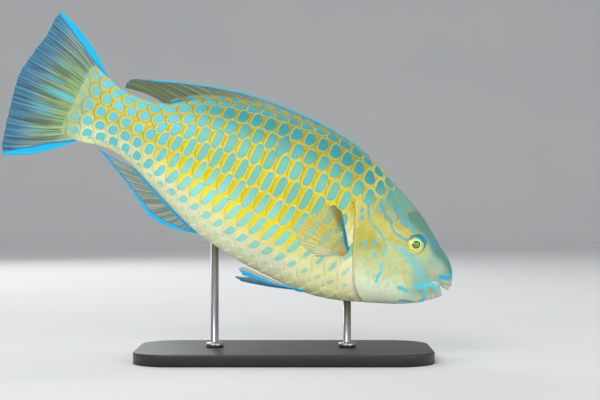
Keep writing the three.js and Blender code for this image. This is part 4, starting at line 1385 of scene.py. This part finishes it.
def anal_material():
    """Grey skin between tan rays, with a broad blue edge and a blue line along the root."""
    nodes = Nodes("anal_fin")
    k, t, ray = nodes.parts("fin")
    edge, root, _ = nodes.parts("far")
    wobble = nodes.noise(140, 2) - 0.5
    streaks = nodes.noise(1.0, 2, nodes.fan(ray, t, 3.6, 0.5))
    swell = k.step(0.0, 0.25) * k.step(0.75, 0.4)
    band = edge + wobble * 2.2 - (1.6 + swell * 2.4)
    wave = (nodes.parts("place")[0] * ANAL_SCALLOP_PACE).sine()
    colour = nodes.paint(
        nodes.mix(streaks.step(0.4, 0.62), *ANAL_SKIN),
        (nodes.value("ridge"), ANAL_RAYS),
        (band.step(1.6, 0.4), ANAL_SHADE),
        (band.step(0.5, -0.4), AZURE),
        ((root + wave * 0.5).step(3.9, 3.3), ANAL_BASE),
        (nodes.value("last_far").step(1.4, 0.8) * 0.8, ANAL_LAST_RAY),
    )
    return fin_finish(nodes, colour)


def caudal_ground(nodes, k, t, ray):
    """The tail fin's streaked ground, from the tail stalk's mottle to its dark blue rear."""
    fine = nodes.noise(1.0, 3, nodes.fan(ray, t, 5.2, 1.0))
    broad = nodes.noise(1.0, 1, nodes.fan(ray, t, 1.15, 0.5))
    inner = k.step(0.12, 0.30) * k.step(0.93, 0.76)
    off_middle = abs(k - 0.495) + (fine - 0.5) * 0.06
    olive = nodes.mix(fine.step(0.40, 0.60), *CAUDAL_OLIVE)
    flames = broad.step(0.44, 0.56) * (t.step(0.34, 0.52) * t.step(0.92, 0.66))
    streaks = broad.step(0.46, 0.38) * t.step(0.34, 0.6)
    return nodes.paint(
        nodes.mix(fine.step(0.40, 0.60), *CAUDAL_GREY),
        (t.step(0.78, 0.5) * inner, olive),
        ((t + broad * 0.3).step(0.48, 0.26) * k.step(0.0, 0.12), tail_colour(nodes)),
        (flames * inner * 0.8, CAUDAL_FLAME),
        (streaks * inner * 0.75, CAUDAL_STREAK),
        (t.step(0.62, 0.90) * 0.9, nodes.mix(fine.step(0.40, 0.62), *CAUDAL_REAR)),
        (nodes.value("ridge") * 0.35, nodes.mix(t.step(0.35, 0.8), *CAUDAL_RAYS)),
        (off_middle.step(0.040, 0.016) * t.step(0.8, 0.4) * 0.85, CAUDAL_MIDDLE),
    )


def caudal_material():
    """The streaked ground with the last spots and blue margins, broadest above and below."""
    nodes = Nodes("caudal_fin")
    k, t, ray = nodes.parts("fin")
    edge, _, first = nodes.parts("far")
    wobble = (nodes.noise(90, 2) - 0.5) * 2.0
    width = 1.6 + t.step(0.0, 0.45) * t.step(1.25, 0.55) * 5.4
    margin = (first + wobble - width).at_most(nodes.value("last_far") + wobble - width)
    colour = nodes.paint(
        caudal_ground(nodes, k, t, ray),
        (nodes.value("spots").step(0.8, -0.8) * 0.7, CAUDAL_DOTS),
        (margin.step(2.6, 0.2), CAUDAL_SHADE),
        (margin.step(0.6, -0.8), AZURE),
        ((edge + wobble * 0.3).step(1.5, 0.8), CAUDAL_RIM),
    )
    return fin_finish(nodes, colour)


def pectoral_material():
    """Thin clear skin between yellow and pale rays, with a blue leading ray."""
    nodes = Nodes("pectoral_fin")
    k, t, ray = nodes.parts("fin")
    on_ray = nodes.value("ridge").step(0.3, 0.8)
    streaks = nodes.noise(1.0, 3, nodes.fan(ray, t, 1.9, 0.9))
    skin = nodes.mix(k.step(0.6, 0.95), nodes.mix(k.step(0.1, 0.5), *PECTORAL_SKIN), PECTORAL_SKIN_LOW)
    rays = nodes.mix(k.step(0.6, 0.9), nodes.mix(streaks.step(0.42, 0.58), *PECTORAL_RAYS), PECTORAL_RAYS_LOW)
    brown = k.step(0.2, 0.08) * t.step(0.3, 0.65)
    blue = nodes.parts("far")[2].step(4.2, 2.6) * t.step(0.92, 0.62)
    colour = nodes.paint(
        skin,
        (on_ray, rays),
        (brown * 0.6, PECTORAL_BROWN),
        (t.step(0.2, 0.03) * 0.7, PECTORAL_BASE),
        (blue, PECTORAL_LEADING),
        (nodes.value("last_far").step(2.0, 1.0) * t.step(0.2, 0.5), PECTORAL_TRAILING),
    )
    solid = (on_ray * 0.8).at_least(blue.at_least(t.step(0.35, 0.05))).at_least(brown * 0.8)
    return fin_finish(nodes, colour, nodes.math("ADD", 0.24, solid * 0.76, clamp=True))


def pelvic_material():
    """Pale skin and rays between two blue margins."""
    nodes = Nodes("pelvic_fin")
    share = nodes.parts("fin")[0] + (nodes.noise(120, 2) - 0.5) * 0.2
    colour = nodes.paint(
        nodes.mix(nodes.value("ridge"), *PELVIC_SKIN_AND_RAYS),
        (share.step(0.26, 0.16), PELVIC_LEADING),
        (share.step(0.86, 0.94), PELVIC_TRAILING),
    )
    return fin_finish(nodes, colour)


# Eyes
def eye_piece(name, side):
    """A domed eye; its colours run in rings round the direction in which it looks."""
    middle = flank_place(EYE_X, EYE_Z, 0)
    looks = flank_place(EYE_X, EYE_Z, 1) - middle
    centre = middle + looks * (EYE_PROUD - EYE_RADIUS)
    level = np.cross(looks, (0, 0, 1))
    level /= np.linalg.norm(level)
    upright = np.cross(level, looks)
    turns = np.linspace(0, 2 * math.pi, 96, endpoint=False)
    polar, turn = np.meshgrid(np.linspace(0, math.pi, 66)[1:-1], turns, indexing="ij")
    flat = np.sin(polar)[..., None] * (np.cos(turn)[..., None] * level + np.sin(turn)[..., None] * upright)
    cornea = CORNEA_PROUD * np.exp(-(np.sin(polar) * EYE_RADIUS / CORNEA_RADIUS) ** 4) * (polar < 1.5)
    points = centre + (flat + np.cos(polar)[..., None] * looks) * (EYE_RADIUS + cornea)[..., None]
    ends = np.array([centre + looks * (EYE_RADIUS + CORNEA_PROUD), centre - looks * EYE_RADIUS])
    points[..., 1] *= side
    ends[:, 1] *= side
    offset = flat * EYE_RADIUS
    spread = joined(offset[..., 0], offset @ upright, polar)
    piece = new_object(name, *tube(points, *ends))
    set_fields(piece, eye=np.concatenate([spread.reshape(-1, 3), [(0, 0, 0), (0, 0, math.pi)]]))
    return piece


def eye_material():
    """A pupil painted with a green reflection in a dark line, then cream, yellow and pale rings under a blue
    lid.
    """
    nodes = Nodes("parrotfish_eye")
    x, up, _ = nodes.parts("eye")
    left, low = x - PUPIL_X, up - PUPIL_Z
    rough = (nodes.noise(420, 3) - 0.5) * 0.9
    reach = (left * left + low * low).square_root() + rough
    rings = [(reach.step(start, end), colour) for start, end, colour in IRIS_RINGS]
    lid = (up + x * -0.25 + rough).step(3.6, 4.4) * reach.step(6.3, 6.9)
    # The pupil's green is a painted reflection shining out of the dark pupil.
    colour = nodes.paint(nodes.mix(reach.step(0.5, 2.2), *PUPIL_PAINTED_REFLECTION), *rings, (lid, EYE_LID))
    return nodes.finish(colour, 0.12, coat=1.0, coat_roughness=0.03)


# Beak
def plain_snout(name, scale=1.0):
    """The plain closed form of the snout, drawn in a little and scaled about the mouth."""
    nose = SNOUT_X - (SNOUT_X - 206) * np.linspace(1, 0.01, 24) ** 1.8
    grid_x, grid_g, side = around_body(np.concatenate([np.arange(BEAK_REAR, 206, 1.0), nose]), 61)
    points = skin_map.point(grid_x, grid_g) - skin_map.outward(grid_x, grid_g) * BEAK_INSET
    points[..., 1] *= side
    vertices, faces = tube(points, (BEAK_REAR, 0, -3), (SNOUT_X - BEAK_INSET, 0, SNOUT_Z))
    return new_object(name, (vertices - BEAK_MIDDLE) * scale + BEAK_MIDDLE, faces)


def beak_piece(name, outline):
    """A beak plate: a shell of the snout within an outline in side view."""
    beak = plain_snout(name)
    boolean(beak, prism(name + "_outline", outline), "INTERSECT")
    boolean(beak, plain_snout(name + "_hollow", BEAK_HOLLOW), "DIFFERENCE")
    beak.data.materials.clear()
    return beak


def upper_beak_outline():
    lip = [(x, lip_height(x) + BEAK_UNDER_LIP) for x in (MOUTH_CORNER[0], UPPER_LIP_FRONT[0])]
    return lip + UPPER_BEAK_EDGE


def beak_material():
    """Enamel of many small fused teeth, a little stained."""
    nodes = Nodes("beak_enamel")
    teeth = nodes.cells(820, nodes.stretched(nodes.place(), (1, 1, 0.55)))
    colour = nodes.mix(teeth.step(0.0, 0.16), *ENAMEL_SEAM_AND_FACE)
    colour = nodes.mix(nodes.noise(160, 3).step(0.5, 0.75) * 0.5, colour, ENAMEL_STAIN)
    nodes.bump(teeth.step(0.0, 0.25), 0.00015, 0.5)
    return nodes.finish(colour, 0.25, coat=0.6, coat_roughness=0.08)


# Stand
def stacked_piece(name, rings):
    """A closed piece from level rings of points in the row frame, with flat ends."""
    rings = np.array(rings)
    rows, columns = rings.shape[:2]
    ring = np.arange(columns)[None]
    faces = [grid_faces(rows, columns, wrap=True), ring + (rows - 1) * columns, ring[:, ::-1]]
    piece = new_object(name, rings.reshape(-1, 3) / 1000, faces, metres=True)
    for face in piece.data.polygons:
        if len(face.vertices) > 4:
            face.use_smooth = False
    return piece


def base_ring(inset, height):
    """The base's outline with round corners, drawn in by an inset."""
    half_x, half_y = BASE_LENGTH / 2 - BASE_CORNER, BASE_WIDTH / 2 - BASE_CORNER
    radius = BASE_CORNER - inset
    ring = []
    for quarter, (sx, sy) in enumerate([(1, 1), (-1, 1), (-1, -1), (1, -1)]):
        for turn in np.linspace(0, math.pi / 2, 25) + quarter * math.pi / 2:
            x, y = sx * half_x + radius * math.cos(turn), sy * half_y + radius * math.sin(turn)
            ring.append((x, y, height))
    return ring


def base_piece():
    """A flat plate with round corners and a rounded upper edge."""
    rings = [base_ring(0.0, 0.0)]
    for turn in np.linspace(0, math.pi / 2, 9):
        height = BASE_THICKNESS - BASE_BEVEL * (1 - math.sin(turn))
        rings.append(base_ring(BASE_BEVEL * (1 - math.cos(turn)), height))
    return stacked_piece("display_base", rings)


def rod_piece(name, x, top):
    """An upright rod with a collar where it meets the base."""
    profile = [(ROD_RADIUS + out, BASE_THICKNESS + up) for out, up in COLLAR] + [(ROD_RADIUS, top)]
    turns = np.linspace(0, 2 * math.pi, 64, endpoint=False)
    return stacked_piece(name, [
        [(x + radius * math.cos(turn), radius * math.sin(turn), height) for turn in turns]
        for radius, height in profile
    ])


def base_material():
    nodes = Nodes("satin_black")
    grain = nodes.noise(60, 4)
    nodes.bump(nodes.noise(1400, 2), 0.00005, 0.5)
    return nodes.finish(nodes.mix(grain, *SATIN_BLACK), 0.34 + grain * 0.12, specular=0.4)


def rod_material():
    nodes = Nodes("brushed_steel")
    brushed = nodes.noise(900, 3, nodes.stretched(nodes.place(), (1, 1, 0.02)))
    return nodes.finish(nodes.mix(brushed, *BRUSHED_STEEL), 0.22 + brushed * 0.16, metallic=1.0)


# Lights, floor and camera
def add_light(name, watts, size, place, aim, colour):
    data = bpy.data.lights.new(name, "AREA")
    data.energy = watts
    data.color = colour
    data.shape = "RECTANGLE"
    data.size, data.size_y = size
    light = bpy.data.objects.new(name, data)
    light.location = place
    light.rotation_euler = (Vector(aim) - Vector(place)).to_track_quat("-Z", "Y").to_euler()
    bpy.context.scene.collection.objects.link(light)


def add_lights():
    for light in LIGHTS:
        add_light(*light)
    world = bpy.data.worlds.new("studio")
    world.use_nodes = True
    background = world.node_tree.nodes["Background"].inputs
    background["Color"].default_value = SKY_LIGHT
    background["Strength"].default_value = SKY_STRENGTH
    bpy.context.scene.world = world
    bpy.context.scene.view_settings.view_transform = "Standard"


def add_stage():
    """A pale floor that curves up into a wall far behind the fish."""
    bend = np.linspace(0, math.pi / 2, 24)
    wall_y = FLOOR_BACK + WALL_ROUND
    depth = np.concatenate([[FLOOR_FRONT, 0.0, FLOOR_BACK], FLOOR_BACK + WALL_ROUND * np.sin(bend), [wall_y]])
    rise = np.concatenate([[0.0, 0.0, 0.0], WALL_ROUND - WALL_ROUND * np.cos(bend), [WALL_TOP]])
    left = np.column_stack([np.full(len(depth), -FLOOR_SIDE), depth, rise])
    count = len(depth)
    i = np.arange(count - 1)
    faces = joined(i, i + count, i + count + 1, i + 1)
    floor = new_object("studio_floor", np.concatenate([left, left * (-1, 1, 1)]), [faces], metres=True)
    nodes = Nodes("studio_paper")
    floor.data.materials.append(nodes.finish(nodes.mix(nodes.noise(3, 2), *FLOOR_PAPER), 0.9, specular=0.2))


def add_camera():
    data = bpy.data.cameras.new("camera")
    data.lens = LENS
    data.sensor_width = SENSOR
    camera = bpy.data.objects.new("camera", data)
    distance = PICTURE_WIDTH * LENS / SENSOR / 1000
    camera.location = (PICTURE_CENTRE[0] / 1000, -distance, PICTURE_CENTRE[1] / 1000)
    camera.rotation_euler = (math.pi / 2, 0, 0)
    bpy.context.scene.collection.objects.link(camera)
    bpy.context.scene.camera = camera


# Assembly
def dress(piece, look, slot, *nodes):
    """Gives a piece its look and its place in the part."""
    piece.data.materials.append(look)
    if nodes:
        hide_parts(*nodes)
    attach(piece, "root")


def add_skin():
    skin = skin_piece()
    skin.data.materials.append(skin_material())
    cut_gape(skin)
    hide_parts("head", "torso", "tail_stalk")
    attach(skin, "root")


def add_scales():
    look = scale_material()
    for side, word in SIDES:
        for rows, part in ((range(UPPER_ROWS), "upper"), (range(UPPER_ROWS, len(ROWS)), "lower")):
            dress(scales_piece(f"scales_{part}_{word}", side, rows), look, "body_skin")


def add_fins():
    dress(dorsal_piece(), dorsal_material(), "fin", "dorsal_fin")
    dress(anal_piece(), anal_material(), "fin", "anal_fin")
    dress(caudal_piece(), caudal_material(), "fin", "caudal_fin")
    for kind, fin, look in (
        ("pectoral", pectoral_piece, pectoral_material()), ("pelvic", pelvic_piece, pelvic_material())
    ):
        for side, word in SIDES:
            dress(fin(f"{kind}_{word}_dressed", side), look, "fin", f"{kind}_fin_{word}")


def add_eyes_and_beak():
    eye, beak = eye_material(), beak_material()
    for side, word in SIDES:
        dress(eye_piece(f"eye_{word}_dressed", side), eye, "eye", f"eye_{word}")
    for word, outline in (("upper", upper_beak_outline()), ("lower", LOWER_BEAK)):
        dress(beak_piece(f"beak_{word}_dressed", outline), beak, "beak", f"beak_{word}")


def add_stand():
    dress(base_piece(), base_material(), "stand_base", "stand_base")
    rod = rod_material()
    for name, x in (("front", ROD_FRONT_X), ("rear", ROD_REAR_X)):
        node = f"stand_rod_{name}"
        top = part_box(node)[1][2] * 1000
        dress(rod_piece(f"display_rod_{name}", x, top), rod, "stand_rod", node)


add_stage()
add_camera()
add_lights()
add_skin()
add_scales()
add_fins()
add_eyes_and_beak()
add_stand()
